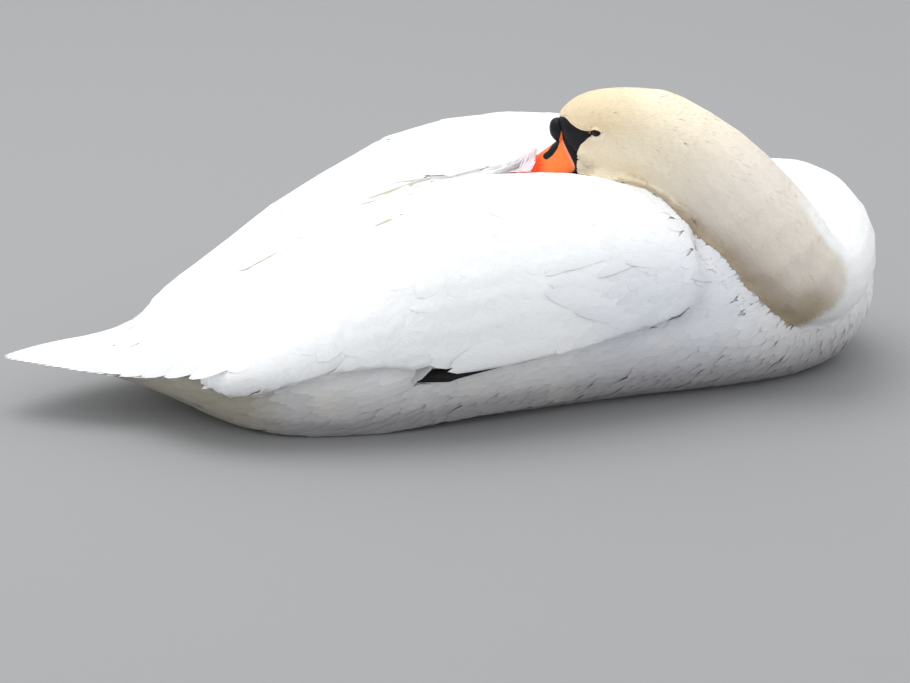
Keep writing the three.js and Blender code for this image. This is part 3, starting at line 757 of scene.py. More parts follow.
def vane_faces(inner, across, ring):
    """Triangles of a vane of inner rings between its two end corners, and those of them that lie on its top."""
    last = 1 + inner * ring
    faces = []
    for j in range(ring):
        k = (j + 1) % ring
        faces.append((0, 1 + k, 1 + j))
        for i in range(inner - 1):
            a, b = 1 + i * ring, 1 + (i + 1) * ring
            if j < across - 1:
                faces += [(a + j, a + k, b + k), (a + j, b + k, b + j)]
            else:  # the underside is split the other way round, so that it lies under the top everywhere
                faces += [(a + j, a + k, b + j), (a + k, b + k, b + j)]
        z = last - ring
        faces.append((z + j, z + k, last))
    faces = np.array(faces)[:, ::-1]
    upper = [f for f in faces.tolist() if all(v in (0, last) or (v - 1) % ring < across for v in f)]
    if across == 3:  # then the underside has no corners of its own
        upper = [f for f in upper if any((v - 1) % ring == 1 and v not in (0, last) for v in f)]
    return faces, np.array(upper)


class Coat:
    """Many vanes or tufts, gathered and made into one mesh."""

    def __init__(self, name, uneven=0.02):
        self.name = name
        self.uneven = uneven  # how much the vanes differ in shade
        self.parts = []

    def add(self, surface, roots, way, length, width, plan, across, depth, thick, on_neck, tip=0.0, cup=0.0,
            lines=None, steps=5, lean=0.15, tint=None, over=4.0, rise_by=2.0, sift=True):
        """Vanes with that plan. across is how many columns their top has, depth how far under the coat's outside
        the root lies, tip how far over it the tip stands, and cup how much the edges hang."""
        if not len(roots):
            return
        each = [np.broadcast_to(np.asarray(v, float), (len(roots),)) for v in (length, width, depth, tip, cup, lean)]
        if lines is None:
            # where the lie spreads out from one place, the roots lie shallow
            _, tops = surface.nearest(roots)
            each[2] = each[2] * mix(0.3, 1, smooth(0.1, 0.6, np.linalg.norm(np.cross(tops, unit(way)), axis=1)))
            lines = laid(surface, roots, way, each[0], steps, over, plan is TUFT)
            keep = lines[2] > 0.3
            lines, each = [v[keep] for v in lines], [v[keep] for v in each]
            on_neck = on_neck[keep] if np.ndim(on_neck) else on_neck
        length, width, depth, tip, cup, lean = each
        line, tops, whole = lines
        n = len(line)
        s, wide = np.array(plan).T
        share = s[None] * whole[:, None]
        spine = at_share(line, share)
        top = unit(at_share(tops, share))
        side = unit(np.cross(top, unit(np.gradient(spine, axis=1))))
        columns = np.linspace(-1, 1, across)
        rise = -depth[:, None] * (1 - s) ** rise_by + tip[:, None] * s ** 2
        half = 0.5 * width[:, None] * wide[None] * np.sqrt(np.maximum(whole, 0.3))[:, None]
        body = spine[:, 1:-1, None] + side[:, 1:-1, None] * (half[:, 1:-1, None] * columns[None, None])[..., None]
        if surface is not None and width.max() > 9:
            body, normals = bedded(surface, spine[:, 1:-1], top[:, 1:-1], body)
        else:
            normals = np.broadcast_to(top[:, 1:-1, None], body.shape)
        hang = cup[:, None, None] * columns[None, None] ** 2
        raised = rise[:, 1:-1, None] - hang
        body = body + normals * raised[..., None]
        sideways = side[:, 1:-1, None] * columns[None, None, :, None]
        shown = unit(normals + sideways * lean[:, None, None, None])
        if across > 3:
            under = body[:, :, 1:-1] - normals[:, :, 1:-1] * thick
            rings = np.concatenate((body, under[:, :, ::-1]), 2)
            ring_normals = np.concatenate((shown, -normals[:, :, 1:-1][:, :, ::-1]), 2)
            ring_across = np.concatenate((columns, columns[1:-1][::-1]))
        else:
            body[:, :, 1] += normals[:, :, 1] * thick
            rings, ring_normals, ring_across = body, shown, columns
        first = spine[:, :1] + top[:, :1] * rise[:, :1, None]
        last = spine[:, -1:] + top[:, -1:] * (rise[:, -1:, None] - 0.3 * cup[:, None, None])
        inner, ring = len(plan) - 2, rings.shape[2]
        co = np.concatenate((first, rings.reshape(n, -1, 3), last), 1)
        no = np.concatenate((top[:, :1], ring_normals.reshape(n, -1, 3), top[:, -1:]), 1)
        across_of = np.concatenate(([0], np.tile(ring_across, inner), [0]))
        along_of = np.concatenate(([0], np.repeat(s[1:-1], ring), [1]))
        faces, upper = vane_faces(inner, across, ring)
        a, b, c = (co[:, upper[:, k]] for k in range(3))
        flat = np.cross(b - a, c - a)
        lit = (flat * no[:, upper].mean(2)).sum(2) / (np.linalg.norm(flat, axis=2) + 1e-6)
        lit *= np.sign(np.median(lit))
        least = 0.25 if plan is TUFT else -0.2  # vanes that are twisted further than that are left out
        lies = (lit.min(1) > least) | (not sift)
        on_neck = np.broadcast_to(on_neck, n)
        colour = markings(at_share(line, 0.65 * whole[:, None])[:, 0], on_neck) if tint is None else tint
        colour = np.broadcast_to(colour, (n, 3))
        root = unwrap(line[:, 0], on_neck)
        self.parts.append((co[lies], no[lies], faces, across_of, along_of, colour[lies], root[lies], length[lies]))

    def make(self, material, slot="plumage"):
        rng = np.random.default_rng(len(self.name) * 7 + 1)
        co, no, tris, colour, uv, vane = [], [], [], [], [], []
        base = 0
        for places, normals, faces, across, along, tint, root, length in self.parts:
            n, k = places.shape[:2]
            co.append(places.reshape(-1, 3))
            no.append(normals.reshape(-1, 3))
            tris.append((faces[None] + (base + np.arange(n) * k)[:, None, None]).reshape(-1, 3))
            base += n * k
            shade = 1 + self.uneven * rng.normal(size=(n, 1, 1)).clip(-1.5, 1.5)
            colour.append((np.repeat(tint[:, None], k, 1) * shade).clip(0, 1).reshape(-1, 3))
            across, along = np.broadcast_to(across, (n, k)), np.broadcast_to(along, (n, k))
            patch = np.stack((across, (along - 0.5) * 2), 2)
            uv.append((np.clip(root, 0.004, 0.996)[:, None] + PATCH_HALF * patch).reshape(-1, 2))
            # the barbs' pattern: 20 mm of vane for each unit, and every vane at a place of its own
            vane.append(np.stack((across, along * length[:, None] / 20 + rng.random((n, 1)) * 40), 2).reshape(-1, 2))
        co, no, tris = np.vstack(co), np.vstack(no), np.vstack(tris)
        if (face_crosses(co, tris) * no[tris].mean(1)).sum() < 0:
            tris = tris[:, ::-1]
        # a corner whose shading would look away from its own face takes that face's
        flat = face_crosses(co, tris)
        flat /= np.linalg.norm(flat, axis=1, keepdims=True) + 1e-9
        corners = no[tris]
        away = (corners * flat[:, None]).sum(2) < 0.1
        corners[away] = np.broadcast_to(flat[:, None], corners.shape)[away]
        mesh = bpy.data.meshes.new(self.name)
        mesh.vertices.add(len(co))
        mesh.vertices.foreach_set("co", (co * MM).astype(np.float32).ravel())
        mesh.loops.add(len(tris) * 3)
        mesh.loops.foreach_set("vertex_index", tris.astype(np.int32).ravel())
        mesh.polygons.add(len(tris))
        mesh.polygons.foreach_set("loop_start", np.arange(0, len(tris) * 3, 3, dtype=np.int32))
        mesh.update(calc_edges=True)
        mesh.shade_smooth()
        set_colour(mesh, np.vstack(colour))
        loops = tris.ravel()
        set_uv(mesh, "OFBake", np.vstack(uv)[loops])
        set_uv(mesh, "vane", np.vstack(vane)[loops])
        mesh.normals_split_custom_set(corners.reshape(-1, 3).astype(np.float32))
        mesh.materials.append(material)
        made = add_object(self.name, mesh)
        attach(made, "root")
        return made


# ---------------------------------------------------------------- materials
def material(name, rough, sheen=0.0, specular=0.5):
    made = bpy.data.materials.new(name)
    made.use_nodes = True
    tree = made.node_tree
    shader = tree.nodes["Principled BSDF"]
    shader.inputs["Roughness"].default_value = rough
    shader.inputs["IOR"].default_value = 1.45
    shader.inputs["Specular IOR Level"].default_value = specular
    shader.inputs["Sheen Weight"].default_value = sheen
    shader.inputs["Sheen Roughness"].default_value = 0.6
    return made, tree, shader


def node(tree, kind, sockets=(), **settings):
    """A shader node with its settings. Its sockets are set to numbers or linked to other nodes' sockets."""
    made = tree.nodes.new(kind)
    for key, value in settings.items():
        setattr(made, key, value)
    for key, value in dict(sockets).items():
        if isinstance(value, bpy.types.NodeSocket):
            tree.links.new(value, made.inputs[key])
        else:
            made.inputs[key].default_value = value
    return made


def blend(tree, share, first, second):
    """The socket of a colour between two, each a socket or a colour of its own."""
    colours = {"A": first, "B": second}
    sockets = {key: c if isinstance(c, bpy.types.NodeSocket) else (*c, 1) for key, c in colours.items()}
    return node(tree, "ShaderNodeMix", {"Factor": share, **sockets}, data_type="RGBA").outputs["Result"]


def ranged(tree, value, from_low, from_high, to_low, to_high):
    sockets = {"Value": value, "From Min": from_low, "From Max": from_high, "To Min": to_low, "To Max": to_high}
    return node(tree, "ShaderNodeMapRange", sockets).outputs["Result"]


def relief(tree, shader, height, strength, depth):
    bump = node(tree, "ShaderNodeBump", {"Height": height, "Strength": strength, "Distance": depth})
    tree.links.new(bump.outputs["Normal"], shader.inputs["Normal"])


def grain(tree, scale, detail):
    """Noise over the object's own coordinates."""
    where = node(tree, "ShaderNodeTexCoord").outputs["Object"]
    return node(tree, "ShaderNodeTexNoise", {"Vector": where, "Scale": scale, "Detail": detail}).outputs["Fac"]


def number(tree, name):
    return node(tree, "ShaderNodeAttribute", attribute_name=name).outputs["Fac"]


def corner_colour(tree):
    return node(tree, "ShaderNodeVertexColor", layer_name="plumage").outputs["Color"]


def calculated(tree, operation, *values):
    return node(tree, "ShaderNodeMath", enumerate(values), operation=operation).outputs[0]


def feather_material(name, fine, strength):
    """Plumage in the coat's own colours. Its barbs run outwards and towards the tip from the shaft."""
    made, tree, shader = material(name, 0.78, sheen=0.12)
    vane = node(tree, "ShaderNodeUVMap", uv_map="vane").outputs["UV"]
    split = node(tree, "ShaderNodeSeparateXYZ", {"Vector": vane}).outputs
    slant = calculated(tree, "MULTIPLY_ADD", calculated(tree, "ABSOLUTE", split["X"]), -0.55, split["Y"])
    wave = calculated(tree, "MULTIPLY", slant, fine)
    place = node(tree, "ShaderNodeCombineXYZ", {"X": wave, "Y": split["X"]}).outputs[0]
    noise = node(tree, "ShaderNodeTexNoise", {"Vector": place, "Scale": 1.0, "Detail": 3.0}).outputs["Fac"]
    relief(tree, shader, noise, strength, 0.0006)
    dim = ranged(tree, noise, 0.3, 0.7, 0.93, 1.03)
    dimmed = node(tree, "ShaderNodeVectorMath", operation="SCALE")
    tree.links.new(corner_colour(tree), dimmed.inputs[0])
    tree.links.new(dim, dimmed.inputs["Scale"])
    tree.links.new(dimmed.outputs[0], shader.inputs["Base Color"])
    return made


vane_white = feather_material("feather_white", 16.0, 0.35)
vane_fine = feather_material("feather_fine", 9.0, 0.25)


def skin_material():
    """Skin in the colour of the down over it, and bare and black where the lore is."""
    made, tree, shader = material("skin_and_down", 0.7, specular=0.2)
    bare = ranged(tree, number(tree, "lore"), -0.25, 0.25, 1.0, 0.0)
    noise = grain(tree, 900.0, 4.0)
    dark = blend(tree, noise, (0.006, 0.006, 0.008), (0.009, 0.009, 0.012))
    tree.links.new(blend(tree, bare, corner_colour(tree), dark), shader.inputs["Base Color"])
    tree.links.new(ranged(tree, bare, 0.0, 1.0, 0.8, 0.42), shader.inputs["Roughness"])
    relief(tree, shader, noise, 0.35, 0.0004)
    return made


skin_mesh.materials.clear()
skin_mesh.materials.append(skin_material())
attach(skin, "root")
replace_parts(skin, *FLESH)

# ---------------------------------------------------------------- laying the coat
def body_way(p):
    """The lie of the body's feathers: back, and down the sides."""
    turn = np.tile((-1.0, 0.0, -0.42), (len(p), 1))
    turn[:, 1] -= 0.35 * np.sign(p[:, 1]) * smooth(-120, -300, p[:, 0])
    turn[:, 2] += 0.1 * ripple(p, 120, 4) - 1.7 * smooth(265, 395, p[:, 0])
    turn[:, 1] += 0.08 * ripple(p, 120, 5)
    return unit(turn)


def neck_way(p):
    """The lie of the neck's and head's feathers: away from the bill."""
    t, way, _ = along_spine(p)
    from_bill = unit(p - from_head((40, 0, -18)))
    face = smooth(11.2, 12.4, t)[:, None]
    turned = mix(-way, from_bill, face)
    wander = np.stack([ripple(p, 34, k) for k in (4, 5, 6)], 1)
    return unit(turned + 0.13 * wander)


rng = np.random.default_rng(3)
# stations of the neck's line where its coats meet
BEND_FROM, UPPER_FROM, HEAD_FROM = 4.4, 6.6, 9.6


def vary(n, low, high):
    return low + (high - low) * rng.random(n)


def wing_sizes(p):
    """(length, width, spacing) of a wing's feathers: small over the shoulder, long at the rear."""
    back = smooth(160, -200, p[:, 0])
    return mix(46, 125, back), mix(20, 44, back), mix(9.5, 18, back)


def wing_coat(word):
    surface = wing_side[word]
    middle = surface.co[surface.tris].mean(1)
    chosen = (surface.normals[surface.tris].mean(1)[:, 2] > -0.5) & (middle[:, 0] < 145)
    places = scatter(surface, chosen, lambda p: wing_sizes(p)[2], 11, within=2.2)
    places = places[places[:, 0] < vary(len(places), 105, 145)]
    length, width, _ = wing_sizes(places)
    n = len(places)
    coat = Coat("feathers_wing_" + word, 0.008)
    coat.add(
        surface, places, body_way(places), length * vary(n, 0.85, 1.15), width * vary(n, 0.85, 1.1), LANCE, 5,
        0.8, 0.12, -1.0, tip=vary(n, -0.05, 0.08), cup=0.25, steps=14, lean=0.03, over=2.0)
    return coat


def trunk_sizes(p):
    """(length, width, spacing) of the trunk's feathers: short on the breast and belly, long under the tail."""
    back = smooth(120, -220, p[:, 0])
    low = smooth(90, 35, p[:, 2])
    spacing = mix(7.0, 9.5, back) * (1 - 0.28 * low)
    return mix(34, 54, back) * (1 - 0.25 * low), mix(14, 18, back) * (1 - 0.4 * low), spacing


def trunk_coat(name, surface, seed):
    """Feathers of the belly and flanks on the trunk, or of the breast and shoulders on the hull."""
    coat = Coat(name)
    middle = surface.co[surface.tris].mean(1)
    front = surface is hull
    chosen = (middle[:, 2] > 2.5) & ((middle[:, 0] > 80) if front else (middle[:, 0] < 100))
    places = scatter(surface, chosen, lambda p: trunk_sizes(p)[2] * (1.06 if front else 1), seed)
    if front:
        places = places[places[:, 0] > vary(len(places), 80, 115)]
    places = places[(part_of(places) < NECK_BASE) & (gap_to(folded, places, 30) > 9)]
    length, width, _ = trunk_sizes(places)
    n = len(places)
    rough = smooth(mix(62, 92, smooth(180, 280, places[:, 0])), 28, places[:, 2])
    coat.add(
        surface, places, body_way(places), length * vary(n, 0.8, 1.2), width * vary(n, 0.85, 1.15), LANCE, 5,
        mix(0.9, 2.2, rough), 0.12, 0.0, tip=vary(n, 0.0, 0.12) + 0.3 * rough, cup=mix(0.3, 0.1, rough), steps=8,
        lean=mix(0.03, 0.15, rough))
    return coat


def fold_coat():
    """Small tufts of the back and the shoulder in the folds beside the neck and the head."""
    coat = Coat("tufts_in_folds")
    chosen = (hull_part < NECK_BASE) & (gap_to(folded, hull_middle, 30) < 13)
    places = scatter(hull, chosen, lambda p: np.full(len(p), 3.0), 14, within=0)
    n = len(places)
    way = body_way(places)
    aside = unit(folded.nearest(places)[0] - places)
    way = way - 1.3 * np.maximum((way * aside).sum(1, keepdims=True), 0) * aside
    coat.add(
        hull, places, way, 15 * vary(n, 0.8, 1.2), 6.0, TUFT, 3, 1.2, 0.06, 0.0,
        tip=vary(n, -0.1, 0), cup=0.3, steps=4, lean=0.03, over=1.5)
    return coat


def neck_sizes(p):
    """(length, width, spacing) of the neck's strands, wider towards the breast."""
    low = smooth(4.4, 0.6, along_spine(p)[0])
    return mix(17, 30, low), mix(3.6, 11, low), mix(1.95, 5.6, low)


hull_middle = hull.co[hull.tris].mean(1)
hull_part = part_of(hull_middle)
hull_station = along_spine(hull_middle)[0]


def neck_coat(name, seed, first, last):
    chosen = (hull_part >= NECK_BASE) & (hull_station >= first) & (hull_station < last)
    places = scatter(hull, chosen, lambda p: neck_sizes(p)[2], seed, within=0)
    length, width, _ = neck_sizes(places)
    n = len(places)
    coat = Coat(name)
    on_neck = smooth(1.5, 3.5, along_spine(places)[0])
    coat.add(
        hull, places, neck_way(places), length * vary(n, 0.8, 1.2), width * vary(n, 0.85, 1.2), TUFT, 3,
        1.1, 0.06, on_neck, tip=vary(n, -0.14, -0.06), cup=0.3, steps=4, lean=0.03, over=1.5)
    return coat


def head_coat():
    """Short tufts of the head, which leave the bare skin and the eyes free."""
    chosen = (hull_part >= NECK_BASE) & (hull_station >= HEAD_FROM)
    places = scatter(hull, chosen, lambda p: mix(1.9, 1.25, smooth(-50, 14, in_head(p)[:, 0])), 23, within=0)
    q = in_head(places)
    eye_far = [np.where(q[:, 1] * side > 0, (eye_opening(from_eye(q, side)) - 1) * 4, 99) for side in (-1, 1)]
    keep = (lore_distance(q) > 0.4) & (np.minimum(*eye_far) > 0.45)
    places, q = places[keep], q[keep]
    n = len(places)
    length = mix(13, 4.6, smooth(-55, 22, q[:, 0])) * vary(n, 0.85, 1.15)
    coat = Coat("tufts_head")
    coat.add(
        hull, places, neck_way(places), length, mix(3.6, 2.3, smooth(-50, 14, q[:, 0])), TUFT, 3,
        mix(1.1, 0.8, smooth(-50, 5, q[:, 0])), 0.05, 1.0, tip=vary(n, -0.12, -0.05), cup=0.22, steps=3,
        lean=0.03, over=1.0)
    return coat


# plan of a gap between two feathers
LENS = [(0.0, 0.0), (0.1, 0.5), (0.28, 1.0), (0.5, 0.85), (0.75, 0.4), (1.0, 0.0)]


def drawn(coat, surface, rows, plan=LANCE, lift=1.2, **more):
    """Single feathers from where the camera sees their root to where it sees their tip."""
    for (root, tip), width in rows:
        ends = seen_at(surface, [root, tip])
        way = (ends[1] - ends[0])[None]
        coat.add(
            surface, ends[:1], way, np.linalg.norm(way), width, plan, 5, 0.6, 0.4, -1.0,
            tip=lift, cup=0.3, steps=16, lean=0.05, sift=False, **more)


def straight(roots, tips, normals, sag, steps=6):
    """Lines from roots to tips that bulge a little along the normals."""
    t = np.linspace(0, 1, steps + 1)[None, :, None]
    line = roots[:, None] * (1 - t) + tips[:, None] * t + normals[:, None] * (sag[:, None, None] * 4 * t * (1 - t))
    return line, np.broadcast_to(normals[:, None], line.shape).copy(), np.ones(len(roots))


def hung(coat, rows, bulge=3.0, **more):
    """Single feathers from the wing's side to tips that hang free where the camera sees them at that y."""
    for (root, tip, y), width in rows:
        ray = sight(*tip)
        end = CAMERA_AT + ray * (y - CAMERA_AT[1]) / ray[1]
        start = seen_at(bird, [root])[0]
        facing = unit(0.75 * BACKWARDS + 0.4 * Z)[None]
        lines = straight(start[None], end[None], facing, np.array([bulge]), 12)
        coat.add(
            None, start[None], None, np.linalg.norm(end - start, axis=0, keepdims=True), width, LANCE, 5,
            5.0, 0.3, -1.0, cup=0.5, lines=lines, lean=0.03, rise_by=3.0, **more)


coat = wing_coat("right")
right = wing_side["right"]
# gaps between the tips of the long inner feathers, where the next feather shows in shade: patches over the coat tinted
# with painted shade, and dark painted shadow lines at their ends: (root, tip), width and colour
for ends, width, colour in (
        (((462, 176), (352, 201)), 15, (226, 227, 226)), (((455, 176.5), (415, 191)), 8, (190, 184, 164)),
        (((297, 241.5), (247, 269)), 9, (190, 184, 160)), (((264, 260.5), (240, 272.5)), 2.4, (96, 94, 92)),
        (((404, 213.5), (373, 227)), 6, (196, 190, 168)), (((405, 213), (399, 215.5)), 2, (120, 118, 112)),
        (((466, 176.5), (449, 185)), 2.5, (200, 200, 202))):
    drawn(coat, bird, [(ends, width)], LENS, 0.9, tint=srgb(*colour))
# feathers of the shoulder that fan out over the wing's front
for lift, rows in (
        (0.7, [(((640, 225), (545, 279)), 17), (((660, 285), (548, 284)), 24), (((690, 330), (600, 309)), 17)]),
        (1.1, [(((655, 232), (561, 273)), 13), (((660, 312), (544, 292.5)), 26), (((690, 262), (625, 263)), 11)]),
        (1.6, [(((668, 240), (597, 279)), 13), (((668, 320), (575, 304)), 15), (((730, 277), (689, 278)), 7)])):
    drawn(coat, hull, rows, lift=lift)
# faint long feathers down the wing's side
drawn(coat, right, [
    (((392, 262), (322, 366)), 30), (((470, 235), (418, 299)), 26), (((300, 300), (228, 372)), 34)], VANE, 0.6)
# the flank feathers that hang over the foot
flank = [(((600, 332), (447, 371.5)), 24), (((585, 345), (474, 375.5)), 12), (((530, 335), (449, 366)), 22)]
drawn(coat, bird, flank, lift=2.4, over=9)
# round tip of the lowest wing feathers, and the small tips behind it and over the tail's side
drawn(coat, bird, [(((306, 350), (229, 404)), 44), (((332, 350), (260, 401)), 38)], VANE, 1.6, over=14)
hung(coat, [
    (((250, 366), (201.7, 388.7), -124), 10), (((200, 352), (120, 375.5), -74), 16),
    (((212, 353), (141, 376.5), -88), 16), (((226, 355), (164, 377), -106), 15),
    (((244, 358), (188.5, 378.5), -128), 13)])
# a feather in front of the foot's heel, tinted light grey as painted shade like the belly's
hung(coat, [(((440, 350), (404, 383), -147), 20)], bulge=2.0, tint=srgb(216, 215, 218))
coat.make(vane_white)
wing_coat("left").make(vane_white)
trunk_coat("feathers_belly", body_side, 12).make(vane_fine)
trunk_coat("feathers_breast", hull, 13).make(vane_fine)
fold_coat().make(vane_fine)
neck_coat("feathers_breast_top", 20, 0, BEND_FROM).make(vane_fine)
neck_coat("tufts_neck_bend", 21, BEND_FROM, UPPER_FROM).make(vane_fine, "head_plumage")
neck_coat("tufts_neck_upper", 22, UPPER_FROM, HEAD_FROM).make(vane_fine, "head_plumage")
head_coat().make(vane_fine, "head_plumage")


# ---------------------------------------------------------------- tail and the tips of the long wing feathers
def tail_feathers():
    coat = Coat("tail_feathers")
    half = np.array([5, 15, 27, 43, 59, 70])
    reach = np.array([-428, -414, -396, -368, -332, -295])
    for layer, (count, lift) in enumerate(((33, 1.2), (32, 0.2), (19, -0.9))):
        k = np.linspace(-1, 1, count)
        tip_y = k * 64
        tip_x = np.interp(np.abs(tip_y), half, reach) + 2 + layer * 4
        z = 54.5 - 7 * k ** 2 + lift
        roots = np.stack((np.full(count, -215.0), k * 34, z + 3 + 3 * lift - np.abs(k) * 2), 1)
        tips = np.stack((tip_x, tip_y, z), 1)
        normals = unit(np.stack((0 * k, 0.12 * k, np.ones(count)), 1))
        lines = straight(roots, tips, normals, np.full(count, 1.5))
        coat.add(
            None, roots, None, np.linalg.norm(tips - roots, axis=1), 22.0, LANCE, 5, 0.0, 0.4, -1.0,
            cup=0.5, lines=lines, lean=0.05)
    # shorter feathers over and under the tail's root
    middle = bird.co[bird.tris].mean(1)
    for sign, front, size, on_neck, seed in ((1, -205, 80, -1.0, 31), (-1, -240, 60, 0.0, 32)):
        chosen = bird.normals[bird.tris].mean(1)[:, 2] * sign > 0.25
        chosen &= (middle[:, 0] > -322) & (middle[:, 0] < front) & (np.abs(middle[:, 1]) < 88) & (middle[:, 2] > 30)
        places = scatter(bird, chosen, lambda p: np.full(len(p), 12.0), seed, within=0)
        coat.add(
            bird, places, body_way(places) * (1, 0.4, 0.3), size * vary(len(places), 0.8, 1.15), 28.0, LANCE, 5,
            1.0, 0.15, on_neck, tip=0.15, cup=0.12, steps=10, lean=0.03)
    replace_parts(coat.make(vane_white), "tail")


def long_wing_feathers(name, side, cad_node):
    """The tips of the long feathers under the folded wing's rear, tinted olive grey as painted shade."""
    coat = Coat(name)
    count = 7
    k = np.linspace(0, 1, count)
    roots = np.stack((-190 - 6 * k, side * (138 - 8 * k), 65 - 12 * k), 1)
    tips = np.stack((-288 + 26 * k, side * (84 + 20 * k), 55 - 5 * k), 1)
    out = unit(np.stack((0 * k - 0.3, side * (0.75 + 0 * k), 0.55 + 0 * k), 1))
    lines = straight(roots, tips, out, np.full(count, 3.0))
    # olive grey tint: painted shade under the folded wing's rear
    coat.add(
        None, roots, None, np.linalg.norm(tips - roots, axis=1), 17.0, LANCE, 5, 0.0, 0.6, 0.0,
        cup=1.0, lines=lines, tint=srgb(180, 175, 160))
    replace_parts(coat.make(vane_white), cad_node)


tail_feathers()
long_wing_feathers("primaries_right_feathers", -1, "primaries_right")
long_wing_feathers("primaries_left_feathers", 1, "primaries_left")


# ---------------------------------------------------------------- bill, knob and eyes
# upper bill: forward, height of the ridge, height of the cutting edge, half width
BILL = np.array([
    (27.2, 6, -37, 17), (34, -2, -37.5, 16), (44, -8.5, -38, 15), (58, -15, -38.5, 14),
    (72, -22, -39, 14), (86, -29, -40, 14.5), (97, -35.5, -42, 12.5), (103, -41, -45, 6),
])
# lower bill: forward, depth, half width
LOWER_BILL = np.array([(27.2, 9, 14.5), (45, 8, 13.2), (70, 6, 12.4), (90, 4.5, 11.6), (98, 2.5, 7)])


def curve(rows, x):
    """Smooth values of a table's columns at x."""
    out = []
    for k in range(1, rows.shape[1]):
        slope = np.gradient(rows[:, k], rows[:, 0])
        i = np.clip(np.searchsorted(rows[:, 0], x) - 1, 0, len(rows) - 2)
        h = rows[i + 1, 0] - rows[i, 0]
        t = (x - rows[i, 0]) / h
        out.append(
            (2 * t ** 3 - 3 * t ** 2 + 1) * rows[i, k] + (t ** 3 - 2 * t ** 2 + t) * h * slope[i]
            + (3 * t ** 2 - 2 * t ** 3) * rows[i + 1, k] + (t ** 3 - t ** 2) * h * slope[i + 1])
    return np.stack(out, 1)


def ring_faces(rows, columns):
    """Faces of a tube of rings, with a fan over each end whose middle is the last two corners."""
    faces = []
    for i in range(rows - 1):
        for j in range(columns):
            k = (j + 1) % columns
            faces.append((i * columns + j, i * columns + k, (i + 1) * columns + k, (i + 1) * columns + j))
    start, end = rows * columns, rows * columns + 1
    for j in range(columns):
        k = (j + 1) % columns
        faces.append((start, k, j))
        faces.append((end, (rows - 1) * columns + j, (rows - 1) * columns + k))
    return faces


def closed_form(name, co, rows, columns):
    """A closed mesh, facing outwards, from rings of points and two end points in the head's frame."""
    made = new_object(name, from_head(co), ring_faces(rows, columns))
    bm = bmesh.new()
    bm.from_mesh(made.data)
    bmesh.ops.recalc_face_normals(bm, faces=bm.faces)
    bm.to_mesh(made.data)
    bm.free()
    made.data.shade_smooth()
    return made


def tube(name, rings):
    co = np.vstack((rings.reshape(-1, 3), rings[0].mean(0), rings[-1].mean(0)))
    return closed_form(name, co, *rings.shape[:2])


def upper_bill():
    """The horn of the upper bill in rings from its base to its tip."""
    a = np.concatenate((np.linspace(25, 92, 56), np.linspace(93, 103, 18)))
    culmen, tomium, half = curve(BILL, np.maximum(a, BILL[0, 0])).T
    columns = 48
    angle = np.arange(columns) / columns * 2 * math.pi
    rise = np.sin(angle)[None]
    # the side is drawn in below the ridge and flares again towards the cutting edge
    pinch = 1 - 0.07 * np.exp(-((rise - 0.55) / 0.25) ** 2)
    b = half[:, None] * np.cos(angle)[None] * pinch
    above = tomium[:, None] + (culmen - tomium)[:, None] * np.abs(rise) ** 0.85
    up = np.where(rise > 0, above, tomium[:, None] + 0.6 * rise)
    # the nostril: a slot high on the side
    forward = (a[:, None] - 41 - 0.35 * (-14 - up)) / 7.5
    upward = (up + 14.5 + 0.3 * (a[:, None] - 41)) / 2.8
    nostril = np.exp(-(forward ** 2) ** 1.5 - (upward ** 2) ** 1.5)
    b = b * (1 - 0.12 * nostril)
    # the nail at the tip stands a little proud
    nail = smooth(91.5, 93, a)[:, None] * np.exp(-((np.cos(angle)[None]) / 0.62) ** 4) * (rise > 0)
    up = up + 0.7 * nail
    # a fine lip along the cutting edge
    b = b * (1 + 0.035 * np.exp(-((rise - 0.04) / 0.07) ** 2))
    rings = np.stack((np.broadcast_to(a[:, None], b.shape), b, up), 2)
    return tube("bill_upper_horn", rings)


def lower_bill():
    a = np.linspace(25, 98, 60)
    depth, half = curve(LOWER_BILL, np.maximum(a, LOWER_BILL[0, 0])).T
    edge = np.interp(a, BILL[:, 0], BILL[:, 2]) - 1.3
    angle = np.arange(36) / 36 * 2 * math.pi
    drop = np.maximum(0, -np.sin(angle))[None] ** 0.8 * depth[:, None]
    up = edge[:, None] - drop + np.maximum(0, np.sin(angle))[None] * 0.3
    rings = np.stack((np.broadcast_to(a[:, None], up.shape), half[:, None] * np.cos(angle)[None], up), 2)
    return tube("bill_lower_horn", rings)


def ball(name, middle, half, around, down, form=None):
    """A round form in the head's frame."""
    lat = np.linspace(-math.pi / 2, math.pi / 2, down + 2)[1:-1]
    lon = np.arange(around) / around * 2 * math.pi
    rings = np.stack((
        np.cos(lat)[:, None] * np.cos(lon)[None], np.broadcast_to(np.sin(lat)[:, None], (down, around)),
        np.cos(lat)[:, None] * np.sin(lon)[None]), 2)
    poles = np.array(((0, -1, 0), (0, 1, 0)), float)
    co = np.vstack((rings.reshape(-1, 3), poles))
    if form is not None:
        co = co * form(co)[:, None]
    return closed_form(name, np.array(middle) + co * np.array(half), down, around)


